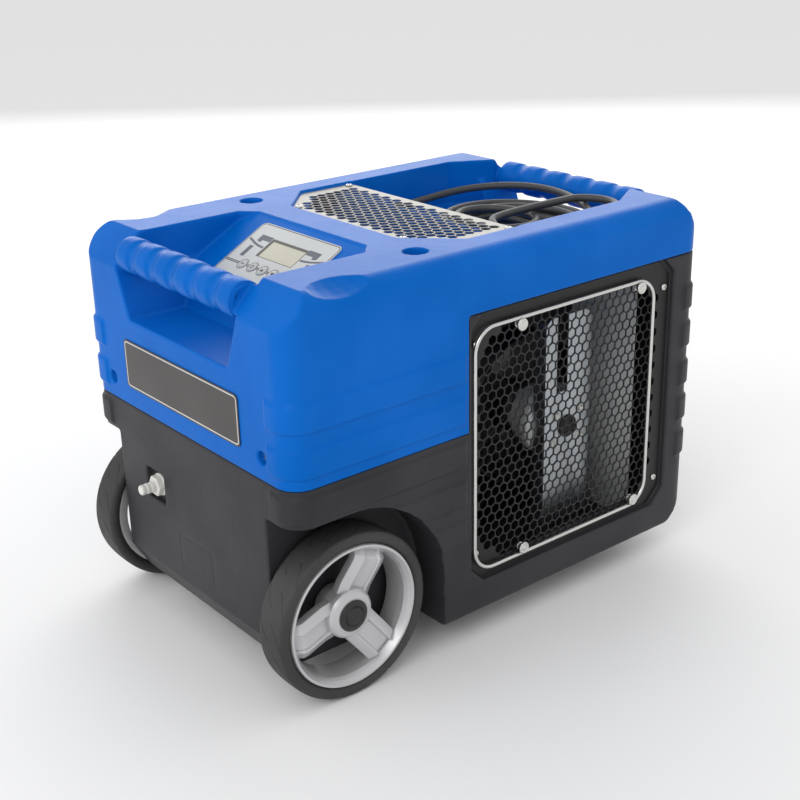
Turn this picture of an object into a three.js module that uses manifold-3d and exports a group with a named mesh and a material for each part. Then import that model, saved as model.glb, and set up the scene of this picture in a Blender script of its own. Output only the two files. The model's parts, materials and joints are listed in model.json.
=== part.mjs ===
// Portable dehumidifier for drying out buildings: a two-piece moulded case on two wheels and two feet.
// Millimetres, +Z up. X runs along the case, with the wheels and the name plate at -X and the cord bay at +X.
// The air inlet is on the -Y side. The origin is on the ground under the middle of the machine.
import * as THREE from "three";
import { mergeVertices } from "three/addons/utils/BufferGeometryUtils.js";
import Module from "manifold-3d";

const wasm = await Module();
wasm.setup();

// ---------------------------------------------------------------- driving dimensions
const GAP = 0.3; // clearance between pieces that touch
const FAR = 500; // beyond every face of the machine

const body = { back: -312.4, front: 332.7, halfWidth: 215, bottom: 36, top: 486, corner: 28, wall: 5 };
const seam = { low: 276, high: 416, stepX: -65.4, tongueLow: 376, tongueHalf: 140 };
const pad = { tops: [372, 321, 268, 219, 168], height: 30, proud: 3, wheelEndX: -73, wrapBack: 40, wrapFront: 30 };
const wheel = { x: -234, radius: 101.6, inner: 168, outer: 212, rimRadius: 86.4, hubRadius: 30, boreRadius: 8.4, hubSunk: 5 };
const arch = { radius: 130, halfWidth: 162 };
const grip = { inset: 19.4, radius: 19.2, ringRadius: 20.8, halfLength: 126, flushFrom: 121 };
const gripHeights = { wheelEnd: 463, cordEnd: 460 };
const gripRings = { count: 6, pitch: 43.2, halfTop: 11, halfFoot: 13.5 };
const pocket = { floor: 389, topHalf: 132, topZ: 458, bottomHalf: 105 };
const control = { slope: Math.atan(38 / 70), topX: -132, topZ: 480, halfWidth: 79, length: 91, thickness: 1.2 };
const bay = { back: 34, front: 262, floor: 425, halfWidth: 160, taperX: 233, gripHalf: 126 };
const plate = { back: -75, shoulderX: -20, front: 60, backHalf: 104, half: 161, thickness: 1.5, ledge: 480.5 };
const inlet = { x0: -61.5, x1: 280, z0: 78, z1: 413.5, corner: 20, depth: 9, ledge: 16, thickness: 1.5 };
const foot = { x: 211.6, y: 125, radius: 22 };
const drain = { y: 80, z: 184 };
const cord = { radius: 5, ringX: 168, ringY: -47, halfX: 93.5, halfY: 112.5, width: 46.5, z0: 425.4, z1: 474 };
const fan = { x: 141, z: 213, radius: 96, hub: 36, front: -96, back: -60, blades: 5 };

const colours = {
  blue: 0x0a6fd8,
  grey: 0x4a4a4c,
  black: 0x1c1b1c,
  rubber: 0x2b2b2d,
  silver: 0xb9bcc0,
  steel: 0xd2d4d6,
  copper: 0xb8724a,
  cream: 0xd9d4b8,
  white: 0xe9e9e6,
  amber: 0x8f8f90,
};

const assembly = new THREE.Group();

// ---------------------------------------------------------------- solids from three.js geometry
function manifoldOf(positions, triangles) {
  const mesh = new wasm.Mesh({ numProp: 3, vertProperties: positions, triVerts: triangles });
  return new wasm.Manifold(mesh);
}

// A closed three.js geometry as a solid with its faces pointing out.
function toSolid(geometry) {
  const bare = geometry.clone();
  bare.deleteAttribute("normal");
  bare.deleteAttribute("uv");
  const merged = mergeVertices(bare, 1e-3);
  const positions = new Float32Array(merged.attributes.position.array);
  const triangles = new Uint32Array(merged.index.array);
  const solid = manifoldOf(positions, triangles);
  return solid.volume() > 0 ? solid : manifoldOf(positions, triangles.reverse());
}

function toGeometry(solid) {
  const mesh = solid.getMesh();
  const geometry = new THREE.BufferGeometry();
  geometry.setAttribute("position", new THREE.BufferAttribute(new Float32Array(mesh.vertProperties), 3));
  geometry.setIndex(new THREE.BufferAttribute(new Uint32Array(mesh.triVerts), 1));
  geometry.computeVertexNormals();
  return geometry;
}

function material(colour, roughness, metalness = 0) {
  return new THREE.MeshStandardMaterial({ color: colour, roughness, metalness });
}

function addPiece(name, solid, finish, group = assembly) {
  const mesh = new THREE.Mesh(toGeometry(solid), finish);
  mesh.name = name;
  group.add(mesh);
  return mesh;
}

function box([x0, x1], [y0, y1], [z0, z1]) {
  const geometry = new THREE.BoxGeometry(x1 - x0, y1 - y0, z1 - z0);
  geometry.translate((x0 + x1) / 2, (y0 + y1) / 2, (z0 + z1) / 2);
  return toSolid(geometry);
}

// Turns geometry made along +Z or +Y so that the same length runs along a named axis.
const fromZ = {
  x: new THREE.Matrix4().set(0, 0, 1, 0, 1, 0, 0, 0, 0, 1, 0, 0, 0, 0, 0, 1),
  y: new THREE.Matrix4().makeRotationX(Math.PI / 2),
  z: new THREE.Matrix4(),
};
const fromY = {
  x: new THREE.Matrix4().makeRotationZ(-Math.PI / 2),
  y: new THREE.Matrix4(),
  z: new THREE.Matrix4().makeRotationX(Math.PI / 2),
};

// An outline extruded along an axis: it is drawn in (x, y) for z, in (x, z) for y and in (y, z) for x.
function extruded(shape, axis, [from, to], curveSegments = 4) {
  const geometry = new THREE.ExtrudeGeometry(shape, { depth: to - from, bevelEnabled: false, curveSegments });
  geometry.applyMatrix4(fromZ[axis]);
  const shift = { x: [from, 0, 0], y: [0, to, 0], z: [0, 0, from] }[axis];
  geometry.translate(...shift);
  return toSolid(geometry);
}

// A profile of [radius, distance along the axis] turned about an axis through a point.
function turned(profile, axis, centre, segments = 32) {
  const points = profile.map(([radius, along]) => new THREE.Vector2(radius, along));
  const geometry = new THREE.LatheGeometry(points, segments);
  geometry.applyMatrix4(fromY[axis]);
  geometry.translate(...centre);
  return toSolid(geometry);
}

function cylinder(axis, centre, radius, [from, to], segments = 24) {
  return turned([[0, from], [radius, from], [radius, to], [0, to]], axis, centre, segments);
}

function tube(points, radius, sides = 8, steps = 24) {
  const path = new THREE.CatmullRomCurve3(points.map((point) => new THREE.Vector3(...point)));
  const geometry = new THREE.ExtrudeGeometry(polygon(circlePoints(0, 0, radius, sides)), {
    extrudePath: path,
    steps,
    bevelEnabled: false,
  });
  return toSolid(geometry);
}

function joined(solids) {
  return solids.reduce((all, solid) => all.add(solid));
}

// ---------------------------------------------------------------- outlines
function polygon(points) {
  return new THREE.Shape(points.map(([u, v]) => new THREE.Vector2(u, v)));
}

function circlePoints(u, v, radius, count, turn = 0) {
  const step = (2 * Math.PI) / count;
  return Array.from({ length: count }, (_, i) => [
    u + radius * Math.cos(turn + i * step),
    v + radius * Math.sin(turn + i * step),
  ]);
}

// A polygon listed anticlockwise, moved out by a distance (or in by a negative one).
function offsetPoints(points, distance) {
  const normal = ([u0, v0], [u1, v1]) => {
    const length = Math.hypot(u1 - u0, v1 - v0);
    return [(v1 - v0) / length, (u0 - u1) / length];
  };
  return points.map((point, i) => {
    const a = normal(points.at(i - 1), point);
    const b = normal(point, points[(i + 1) % points.length]);
    const reach = distance / (1 + a[0] * b[0] + a[1] * b[1]);
    return [point[0] + (a[0] + b[0]) * reach, point[1] + (a[1] + b[1]) * reach];
  });
}

function roundedRectangle([u0, u1], [v0, v1], radii) {
  const [lowRadius, highRadius] = radii;
  const shape = new THREE.Shape();
  shape.moveTo(u0 + lowRadius, v0);
  shape.lineTo(u1 - lowRadius, v0);
  shape.absarc(u1 - lowRadius, v0 + lowRadius, lowRadius, -Math.PI / 2, 0);
  shape.absarc(u1 - highRadius, v1 - highRadius, highRadius, 0, Math.PI / 2);
  shape.absarc(u0 + highRadius, v1 - highRadius, highRadius, Math.PI / 2, Math.PI);
  shape.absarc(u0 + lowRadius, v0 + lowRadius, lowRadius, Math.PI, 1.5 * Math.PI);
  return shape;
}

function mirroredPoints(halfOutline) {
  const otherHalf = halfOutline.map(([u, v]) => [u, -v]).reverse();
  return [...halfOutline, ...otherHalf];
}

// ---------------------------------------------------------------- the case as one block
const sidePoints = [
  [body.back + 22, body.bottom],
  [body.front - 40, body.bottom],
  [body.front, body.bottom + 37],
  [body.front, 434],
  [body.front - 40, body.top],
  [body.back + 36, body.top],
  [body.back, 450],
  [body.back, body.bottom + 39],
];

function planOutline(grow) {
  const y = body.halfWidth + grow;
  const radius = body.corner + grow;
  return roundedRectangle([body.back - grow, body.front + grow], [-y, y], [radius, radius]);
}

// The case's outer block, or the hollow inside its walls when grow is negative.
function bodyBlock(grow) {
  const y = body.halfWidth + grow;
  const side = extruded(polygon(offsetPoints(sidePoints, grow)), "y", [-FAR, FAR]);
  const plan = extruded(planOutline(grow), "z", [0, FAR]);
  const endShape = roundedRectangle([-y, y], [body.bottom - grow, body.top + grow], [8 + grow / 2, 22 + grow]);
  return side.intersect(plan).intersect(extruded(endShape, "x", [-FAR, FAR]));
}

// Raised bumper pads round the four vertical corners.
function cornerPads() {
  const outline = planOutline(pad.proud);
  const outerY = body.halfWidth + pad.proud + 1;
  const regions = [-1, 1].flatMap((side) => {
    const span = (inner) => [side * inner, side * outerY].sort((a, b) => a - b);
    const wheelEnd = box([-FAR, pad.wheelEndX], span(body.halfWidth - pad.wrapBack), [0, FAR]);
    const cordEnd = box([body.front - pad.wrapFront, FAR], span(body.halfWidth - pad.wrapFront), [0, FAR]);
    return [wheelEnd, cordEnd];
  });
  const slabs = pad.tops.map((top) => extruded(outline, "z", [top - pad.height, top]));
  const side = extruded(polygon(offsetPoints(sidePoints, pad.proud)), "y", [-FAR, FAR]);
  return joined(slabs).intersect(joined(regions)).intersect(side);
}

// Everything above the parting line between the two mouldings, lifted by the given amount.
function aboveSeam(lift) {
  const edge = seam.stepX + (lift > 0 ? -lift : 0);
  const region = extruded(
    polygon([
      [-FAR, seam.low + lift],
      [edge, seam.low + lift],
      [edge, seam.high + lift],
      [FAR, seam.high + lift],
      [FAR, FAR + 100],
      [-FAR, FAR + 100],
    ]),
    "y",
    [-FAR, FAR],
  );
  const half = seam.tongueHalf - lift;
  return region.add(box([body.front - 30, FAR], [-half, half], [seam.tongueLow + lift, seam.high + 10]));
}

// ---------------------------------------------------------------- hollows of the upper moulding
// The hand hold at the wheel end, which runs back over the sloping control panel.
function wheelEndHollow(grow) {
  const floorAt = (x) => control.topZ - control.thickness + Math.tan(control.slope) * (x - control.topX);
  const side = [
    [-236, pocket.floor],
    [-218, floorAt(-218)],
    [-122, floorAt(-122)],
    [-117, FAR],
    [-FAR, FAR],
    [-FAR, pocket.floor],
  ];
  const plan = mirroredPoints([[-FAR, -grip.halfLength - 5], [-140, -grip.halfLength], [-117, -101]]);
  return hollow(side, plan, grow);
}

// The cord bay, which runs out under the grip at the other end.
function cordEndHollow(grow) {
  const side = [
    [bay.back, bay.floor],
    [bay.front, bay.floor],
    [bay.front + 16, pocket.floor],
    [FAR, pocket.floor],
    [FAR, FAR],
    [bay.back, FAR],
  ];
  const half = mirroredPoints([
    [bay.back, -bay.halfWidth],
    [bay.taperX, -bay.halfWidth],
    [290, -bay.gripHalf],
    [FAR, -bay.gripHalf - 5],
  ]);
  return hollow(side, half, grow);
}

// A hollow seen in side view and in plan, with the slanted sides of the hand pocket below the grips.
function hollow(side, plan, grow) {
  const ends = [
    [-pocket.bottomHalf, pocket.floor],
    [pocket.bottomHalf, pocket.floor],
    [pocket.topHalf, pocket.topZ],
    [pocket.topHalf + 60, pocket.topZ],
    [pocket.topHalf + 60, FAR],
    [-pocket.topHalf - 60, FAR],
    [-pocket.topHalf - 60, pocket.topZ],
    [-pocket.topHalf, pocket.topZ],
  ];
  const slanted = extruded(polygon(offsetPoints(ends, grow)), "x", [-FAR, FAR]);
  const shallow = box([bay.back - 20, bay.front + 8 + grow], [-FAR, FAR], [bay.floor - grow, FAR]);
  const sideSolid = extruded(polygon(offsetPoints(side, grow)), "y", [-FAR, FAR]);
  const planSolid = extruded(polygon(offsetPoints(plan, grow)), "z", [0, FAR]);
  return sideSolid.intersect(planSolid).intersect(slanted.add(shallow));
}

const deckBolt = { x: -97.5, y: 162, radius: 14.5, floor: 474 };
const endScrew = { y: 162, z: 303, radius: 8, depth: 9 };

function wells(grow) {
  return joined(
    [-1, 1].flatMap((side) => [
      cylinder("z", [deckBolt.x, side * deckBolt.y, 0], deckBolt.radius + grow, [deckBolt.floor - grow, FAR]),
      cylinder(
        "x",
        [0, side * endScrew.y, endScrew.z],
        endScrew.radius + grow,
        [-FAR, body.back + endScrew.depth + grow],
        16,
      ),
      thumbScoop(side, grow),
    ]),
  );
}

// A scoop for the thumb in the long top edge, beside the grip.
function thumbScoop(side, grow) {
  const geometry = new THREE.SphereGeometry(1, 18, 12);
  geometry.scale(45 + grow, 46 + grow, 17 + grow);
  geometry.rotateX(side * -0.25);
  geometry.translate(-232, side * 207, 492);
  return toSolid(geometry);
}

// ---------------------------------------------------------------- the mouldings
// A round bar with raised bands. Its ends lie flush with the sloping faces of the case.
function gripBar(end) {
  const length = grip.halfLength + 8;
  const profile = [[0, -length], [grip.radius, -length]];
  for (let ring = 0; ring < gripRings.count; ring += 1) {
    const middle = (ring - (gripRings.count - 1) / 2) * gripRings.pitch;
    profile.push([grip.radius, middle - gripRings.halfFoot], [grip.ringRadius, middle - gripRings.halfTop]);
    profile.push([grip.ringRadius, middle + gripRings.halfTop], [grip.radius, middle + gripRings.halfFoot]);
  }
  profile.push([grip.radius, length], [0, length]);
  const x = end < 0 ? body.back + grip.inset : body.front - grip.inset;
  const bar = turned(profile, "y", [x, 0, end < 0 ? gripHeights.wheelEnd : gripHeights.cordEnd], 20);
  const middlePart = bar.intersect(box([-FAR, FAR], [-grip.flushFrom, grip.flushFrom], [0, FAR]));
  return bar.intersect(bodyBlock(0)).add(middlePart);
}

function outletOutline(inset) {
  const half = [[plate.back, -plate.backHalf], [plate.shoulderX, -plate.half], [plate.front, -plate.half]];
  return offsetPoints(mirroredPoints(half), -inset);
}

function upperShell() {
  const outer = bodyBlock(0).add(cornerPads());
  const allowed = aboveSeam(GAP).add(bodyBlock(-body.wall - 1));
  const skin = outer.intersect(aboveSeam(GAP)).subtract(bodyBlock(-body.wall));
  const hollows = joined([wheelEndHollow(0), cordEndHollow(0), wells(0)]);
  const liners = joined([wheelEndHollow(body.wall), cordEndHollow(body.wall), wells(body.wall)]);
  const grilleLiner = extruded(polygon(outletOutline(-body.wall)), "z", [plate.ledge - 4, body.top]);
  const cased = joined([skin, liners.add(grilleLiner).intersect(bodyBlock(0)).intersect(allowed)]);
  const grilleRecess = extruded(polygon(outletOutline(-1)), "z", [plate.ledge, FAR]);
  const opening = extruded(polygon(outletOutline(18)), "z", [plate.ledge - 20, FAR]);
  const overAirPath = opening.intersect(box([-FAR, bay.back - body.wall], [-FAR, FAR], [0, FAR]));
  const bars = joined([gripBar(-1), gripBar(1)]);
  return cased.subtract(hollows).subtract(grilleRecess).subtract(overAirPath).add(bars);
}

function wheelArches(grow) {
  const radius = arch.radius + grow;
  return joined(
    [-1, 1].map((side) => {
      const reach = [arch.halfWidth - grow, FAR];
      const span = reach.map((y) => side * y).sort((a, b) => a - b);
      const round = cylinder("y", [wheel.x, 0, wheel.radius], radius, span, 40);
      const behind = box([-FAR, wheel.x], span, [-10, wheel.radius + radius]);
      const below = box([-FAR, wheel.x + radius], span, [-10, wheel.radius - 20]);
      return joined([round, behind, below]);
    }),
  );
}

function inletOutline(grow) {
  const { x0, x1, z0, corner } = inlet;
  const z1 = grow < 0 ? inlet.z1 : seam.high + 2;
  return offsetPoints(
    [
      [x0 + corner, z0],
      [x1 - corner, z0],
      [x1, z0 + corner],
      [x1, z1 - corner],
      [x1 - corner, z1],
      [x0 + corner, z1],
      [x0, z1 - corner],
      [x0, z0 + corner],
    ],
    grow,
  );
}

const inletLedge = -body.halfWidth + inlet.depth;

function sidePanelRecess(side, grow) {
  const span = [inletLedge, -FAR].map((y) => -side * y - side * grow).sort((a, b) => a - b);
  return extruded(polygon(inletOutline(grow + 1)), "y", span);
}

function drainPocket(grow) {
  const half = 20 + grow;
  return box(
    [-FAR, body.back + 10 + grow],
    [drain.y - half, drain.y + half],
    [drain.z - half, drain.z + half],
  );
}

function embossedPanel() {
  const outer = box([-FAR, body.back + 1.2], [-45, 30], [94, 140]);
  return outer.subtract(box([-FAR, body.back + 2], [-42, 27], [97, 137]));
}

function lowerShell() {
  const outer = bodyBlock(0).add(cornerPads());
  const below = box([-FAR, FAR], [-FAR, FAR], [0, seam.high - GAP]).subtract(aboveSeam(0));
  const skin = outer.intersect(below).subtract(bodyBlock(-body.wall));
  const recesses = [-1, 1].map((side) => sidePanelRecess(side, 0));
  const recessLiners = [-1, 1].map((side) => sidePanelRecess(side, body.wall));
  const liners = joined([wheelArches(body.wall), drainPocket(body.wall), ...recessLiners]);
  const cased = skin.add(liners.intersect(bodyBlock(0)).intersect(below));
  const opening = extruded(polygon(inletOutline(-inlet.ledge)), "y", [-FAR, -100]);
  const axleHole = cylinder("y", [wheel.x, 0, wheel.radius], 8 + GAP, [-FAR, FAR], 24);
  const drainHole = cylinder("x", [0, drain.y, drain.z], 9 + GAP, [-FAR, -200], 20);
  const cuts = joined([wheelArches(0), drainPocket(0), ...recesses, opening, axleHole, drainHole, embossedPanel()]);
  return cased.subtract(cuts);
}

addPiece("upper_shell", upperShell(), material(colours.blue, 0.42));
addPiece("lower_shell", lowerShell(), material(colours.grey, 0.6));

// ---------------------------------------------------------------- outlet grille on the top
function outletGrille() {
  const sheet = extruded(polygon(outletOutline(0)), "z", [plate.ledge + GAP, plate.ledge + GAP + plate.thickness]);
  const holes = [];
  for (let row = 0; row < 5; row += 1) {
    const x = plate.back + 28 + row * 18;
    const reach = x < plate.shoulderX ? 76 + row * 8 : 112;
    for (let y = -reach; y <= reach; y += 28) {
      holes.push(extruded(polygon(circlePoints(x, y, 8, 6)), "z", [plate.ledge - 5, FAR]));
    }
  }
  return sheet.subtract(joined(holes));
}

function screw(axis, centre, headRadius, headHeight, shankRadius, shankLength) {
  const profile = [
    [0, -shankLength],
    [shankRadius, -shankLength],
    [shankRadius, 0],
    [headRadius, 0],
    [headRadius * 0.9, headHeight * 0.7],
    [0, headHeight],
  ];
  return turned(profile, axis, centre, 16);
}

const brightSteel = material(colours.steel, 0.3, 1);
const screwPlaces = [[-66, -102], [-66, 102], [51, -153], [51, 153]];
const plateTop = plate.ledge + GAP + plate.thickness;
addPiece("outlet_grille", outletGrille(), brightSteel);
screwPlaces.forEach(([x, y], i) => {
  addPiece(`grille_screw_${i + 1}`, screw("z", [x, y, plateTop + GAP], 4.5, 2.6, 0.8, 0.1), brightSteel);
});

[-1, 1].forEach((side) => {
  const name = side < 0 ? "right" : "left";
  const head = screw("z", [deckBolt.x, side * deckBolt.y, deckBolt.floor + GAP], 11, 5, 3, 0.1);
  addPiece(`deck_bolt_${name}`, head, brightSteel);
  const endHead = screw("x", [0, 0, 0], 6, 3, 2, 0.1).rotate([0, 0, 180]);
  const place = [body.back + endScrew.depth - GAP, side * endScrew.y, endScrew.z];
  addPiece(`end_screw_${name}`, endHead.translate(place), brightSteel);
});

// ---------------------------------------------------------------- inlet panel, its screws and the wire retainer
const panelFace = inletLedge - GAP - inlet.thickness;
const centreX = (inlet.x0 + inlet.x1) / 2;
const centreZ = (inlet.z0 + inlet.z1) / 2;

function inletPanel() {
  const sheet = extruded(polygon(inletOutline(-0.5)), "y", [panelFace, inletLedge - GAP]);
  const holes = [];
  for (let row = -2; row <= 2; row += 1) {
    for (let column = -3; column <= 3; column += 1) {
      const x = centreX + column * 50 + (row % 2 ? 25 : 0);
      if (Math.abs(x - centreX) < 130) {
        const hexagon = circlePoints(x, centreZ + row * 54, 25, 6, Math.PI / 6);
        holes.push(extruded(polygon(hexagon), "y", [-FAR, -150]));
      }
    }
  }
  return sheet.subtract(joined(holes));
}

const retainer = { x0: -56, x1: 245, z0: 91, z1: 397, y: -213, wire: 2.5, corner: 30 };

function wireRetainer() {
  const { x0, x1, z0, z1, y, wire, corner } = retainer;
  const band = (grow) =>
    roundedRectangle([x0 - grow, x1 + grow], [z0 - grow, z1 + grow], [corner + grow, corner + grow]);
  const ring = extruded(band(wire), "y", [y - wire, y + wire]);
  return ring.subtract(extruded(band(-wire), "y", [-FAR, FAR]));
}

function thumbNut(x, z) {
  const profile = [
    [0, 0],
    [5, 0],
    [5, 1.2],
    [4, 1.6],
    [4, 7.7],
    [8.6, 7.7],
    [9, 8.4],
    [7.6, 9.6],
    [0, 9.9],
  ];
  return turned(profile, "y", [0, 0, 0], 20).rotate([180, 0, 0]).translate([x, panelFace - GAP, z]);
}

addPiece("inlet_panel", inletPanel(), material(colours.black, 0.5));
addPiece("wire_retainer", wireRetainer(), brightSteel);
const nutInset = retainer.wire + 5.3;
[[14.4, 1], [218, 1], [221.4, -1], [22.3, -1]].forEach(([x, end], i) => {
  const z = end > 0 ? retainer.z1 - nutInset : retainer.z0 + nutInset;
  addPiece(`thumb_nut_${i + 1}`, thumbNut(x, z), brightSteel);
});
[-1, 1].forEach((sideX) => {
  [-1, 1].forEach((sideZ) => {
    const head = screw("y", [0, 0, 0], 4.5, 2.4, 0.8, 0.1).rotate([180, 0, 0]);
    const place = [centreX + sideX * 160, panelFace - GAP, centreZ + sideZ * 132];
    const name = `panel_screw_${sideZ < 0 ? "low" : "high"}_${sideX < 0 ? "back" : "front"}`;
    addPiece(name, head.translate(place), brightSteel);
  });
});

// ---------------------------------------------------------------- control panel
// Its group lies on the slope: local x runs down the slope towards the grip, local y across and local z out.
const controls = new THREE.Group();
controls.position.set(control.topX, 0, control.topZ - control.thickness + GAP);
controls.rotation.set(0, -control.slope, Math.PI, "YZX");
assembly.add(controls);

const display = { from: 20, to: 51, half: 36 };
const button = { row: 68, pitch: 20.3, count: 5, radius: 6.2, travel: 1 };

function controlPanel() {
  const outline = roundedRectangle([0, control.length], [-control.halfWidth, control.halfWidth], [8, 8]);
  const sheet = extruded(outline, "z", [0, control.thickness], 3);
  const holes = buttonPlaces().map((y) => cylinder("z", [button.row, y, 0], button.radius + GAP, [-5, 5], 20));
  const window = box([display.from, display.to], [-display.half, display.half], [-5, 5]);
  return sheet.subtract(joined([window, ...holes]));
}

function buttonPlaces() {
  return Array.from({ length: button.count }, (_, i) => (i - (button.count - 1) / 2) * button.pitch);
}

addPiece("control_panel", controlPanel(), material(colours.white, 0.45), controls);
const lens = box(
  [display.from + GAP, display.to - GAP],
  [-display.half + GAP, display.half - GAP],
  [0.1, control.thickness - 0.2],
);
addPiece("display_lens", lens, material(colours.cream, 0.25), controls);
buttonPlaces().forEach((y, i) => {
  const key = cylinder("z", [button.row, y, 0], button.radius, [button.travel + 0.1, control.thickness + 1], 20);
  addPiece(`button_${i + 1}`, key, material(colours.amber, 0.5), controls);
});

// ---------------------------------------------------------------- name plate and drain fitting
function namePlate() {
  const outline = roundedRectangle([-123.5, 123.5], [302, 363], [6, 6]);
  return extruded(outline, "x", [body.back - GAP - 1, body.back - GAP], 3);
}

function drainFitting() {
  const outside = body.back + 10 - GAP;
  const profile = [
    [0, -9],
    [4.2, -9],
    [5.6, -6],
    [4.6, -6],
    [6, 0],
    [5, 0],
    [6.2, 6],
    [5.2, 6.4],
    [5.2, 10],
    [13, 10],
    [13, 17],
    [14.5, 18],
    [14.5, 22],
    [8.8, 22],
    [8.8, 34],
    [0, 34],
  ];
  return turned(profile, "x", [outside - 22, drain.y, drain.z], 20);
}

addPiece("name_plate", namePlate(), material(colours.black, 0.4));
addPiece("drain_fitting", drainFitting(), material(colours.white, 0.35));

// ---------------------------------------------------------------- wheels, axle and feet
// Each wheel is drawn with its outer face towards -Y, then turned round for the other side.
function tyre() {
  const { radius, inner, outer, rimRadius } = wheel;
  const profile = [
    [rimRadius + GAP, -outer + 4],
    [radius - 9, -outer],
    [radius - 3, -outer + 3],
    [radius - 0.6, -outer + 10],
    [radius, -(outer + inner) / 2],
    [radius - 0.6, -inner - 10],
    [radius - 3, -inner - 3],
    [radius - 9, -inner],
    [rimRadius + GAP, -inner - 4],
    [rimRadius + GAP, -outer + 4],
  ];
  return turned(profile, "y", [0, 0, 0], 36);
}

const spokes = { angle: 66, half: 22, ridge: 11 };

function rim() {
  const { inner, outer, rimRadius, hubRadius, boreRadius, hubSunk } = wheel;
  const hoop = [
    [rimRadius, -outer + 3],
    [rimRadius, -inner - 5],
    [rimRadius - 12, -inner - 5],
    [rimRadius - 11, -(outer + inner) / 2],
    [rimRadius - 8, -outer + 6],
    [rimRadius - 4, -outer + 1],
    [rimRadius, -outer + 3],
  ];
  const hub = [
    [boreRadius, -outer + hubSunk],
    [hubRadius - 9, -outer + hubSunk],
    [hubRadius - 1, -outer + hubSunk + 4],
    [hubRadius, -outer + hubSunk + 11],
    [hubRadius - 6, -inner + 4],
    [boreRadius, -inner + 4],
    [boreRadius, -outer + hubSunk],
  ];
  const spokeSide = [
    [hubRadius - 6, -outer + 15],
    [rimRadius - 16, -outer + 3],
    [rimRadius - 3, -outer + 8],
    [rimRadius - 3, -outer + 20],
    [hubRadius - 6, -outer + 27],
  ];
  const spoke = extruded(polygon(spokeSide), "z", [-spokes.half, spokes.half]);
  const channel = extruded(polygon(offsetPoints(spokeSide, -2.5)), "z", [-spokes.ridge, spokes.ridge]);
  const hollowed = spoke.subtract(channel.translate([0, -4, 0]));
  const turns = [0, 1, 2].map((i) => hollowed.rotate([0, -(spokes.angle + i * 120), 0]));
  return joined([turned(hoop, "y", [0, 0, 0], 36), turned(hub, "y", [0, 0, 0], 18), ...turns]);
}

function hubCap() {
  const face = -wheel.outer + wheel.hubSunk - GAP;
  const profile = [
    [0, face - 4],
    [9, face - 4],
    [10, face - 3],
    [17, face - 2.6],
    [19, face - 1],
    [19, face],
    [0, face],
  ];
  return turned(profile, "y", [0, 0, 0], 24);
}

[-1, 1].forEach((side) => {
  const name = side < 0 ? "right" : "left";
  const group = new THREE.Group();
  group.position.set(wheel.x, 0, wheel.radius);
  group.rotation.z = side < 0 ? 0 : Math.PI;
  assembly.add(group);
  addPiece(`tyre_${name}`, tyre(), material(colours.rubber, 0.85), group);
  addPiece(`rim_${name}`, rim(), material(colours.silver, 0.4, 0.6), group);
  addPiece(`hub_cap_${name}`, hubCap(), material(colours.black, 0.4), group);

  const sole = [
    [0, 0],
    [foot.radius - 4, 0],
    [foot.radius, 4],
    [foot.radius - 6, body.bottom - GAP],
    [0, body.bottom - GAP],
  ];
  addPiece(`foot_${name}`, turned(sole, "z", [foot.x, side * foot.y, 0]), material(colours.rubber, 0.8));
});
const axleReach = wheel.outer - wheel.hubSunk - 2 * GAP;
const axle = cylinder("y", [wheel.x, 0, wheel.radius], 8, [-axleReach, axleReach], 24);
addPiece("axle", axle, material(colours.silver, 0.35, 1));

// ---------------------------------------------------------------- power cord in its bay
function ellipsePoints(halfX, halfY, count = 40) {
  const unit = circlePoints(0, 0, 1, count);
  return unit.map(([u, v]) => [cord.ringX + u * halfX, cord.ringY + v * halfY]);
}

function cordRing(grow) {
  const height = [cord.z0 - grow, cord.z1 + grow];
  const outer = extruded(polygon(ellipsePoints(cord.halfX + grow, cord.halfY + grow)), "z", height);
  const hole = ellipsePoints(cord.halfX - cord.width - grow, cord.halfY - cord.width - grow);
  return outer.subtract(extruded(polygon(hole), "z", [0, FAR]));
}

const gland = { x: bay.back, y: 132, z: 446, length: 24 };

// The cord leaves the gland, runs round the far side of the bay and comes down on the coil from the grip side.
const leadPoints = [
  [gland.x + gland.length + GAP, gland.y, gland.z],
  [72, 132, 446],
  [100, 134, 445.5],
  [139, 134, 446],
  [192, 131, 451],
  [228, 114, 457],
  [260, 80, 462],
  [279, 35, 465],
  [280, -15, 465],
  [264, -64, 464],
  [242, -106, 463],
];

// The other end leaves the foot of the coil and turns into the plug, under the outlet grille.
const tailPoints = [
  [168, -154, 431],
  [118, -149, 431],
  [88, -138, 433],
  [65, -116, 436],
  [56, -99, 437.6],
  [55, -86, 438],
];

function cordGland() {
  const profile = [
    [0, GAP],
    [10, GAP],
    [10, 7],
    [7.5, 8],
    [6, gland.length],
    [0, gland.length],
  ];
  return turned(profile, "x", [gland.x, gland.y, gland.z], 16);
}

const plug = { x: 55, y: -85, z: 438 };

// A moulded grounded plug beside the coil: a neck, a body and three blades along +Y.
function plugSolid() {
  const { x, y, z } = plug;
  const neck = turned([[0, 0], [6.5, 0], [9, 38], [0, 38]], "y", [x, y, z], 16);
  const shell = turned([[0, 36], [13, 36], [17, 46], [17, 68], [0, 68]], "y", [x, y, z], 16);
  const trimmed = shell.intersect(box([x - 16, x + 16], [y, y + 70], [z - 12.4, z + 12.4]));
  const blades = [-6.35, 6.35].map((dx) => box([x + dx - 0.8, x + dx + 0.8], [y + 66, y + 86], [z, z + 6.3]));
  const earth = cylinder("y", [x, y, z - 6], 2.4, [66, 90], 10);
  return joined([neck, trimmed, ...blades, earth]);
}

// The longest stretch of a cord that is left outside the coil.
function outsideCoil(points, steps) {
  const whole = tube(points, cord.radius, 10, steps).subtract(cordRing(GAP));
  return whole.decompose().sort((a, b) => b.volume() - a.volume())[0];
}

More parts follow.
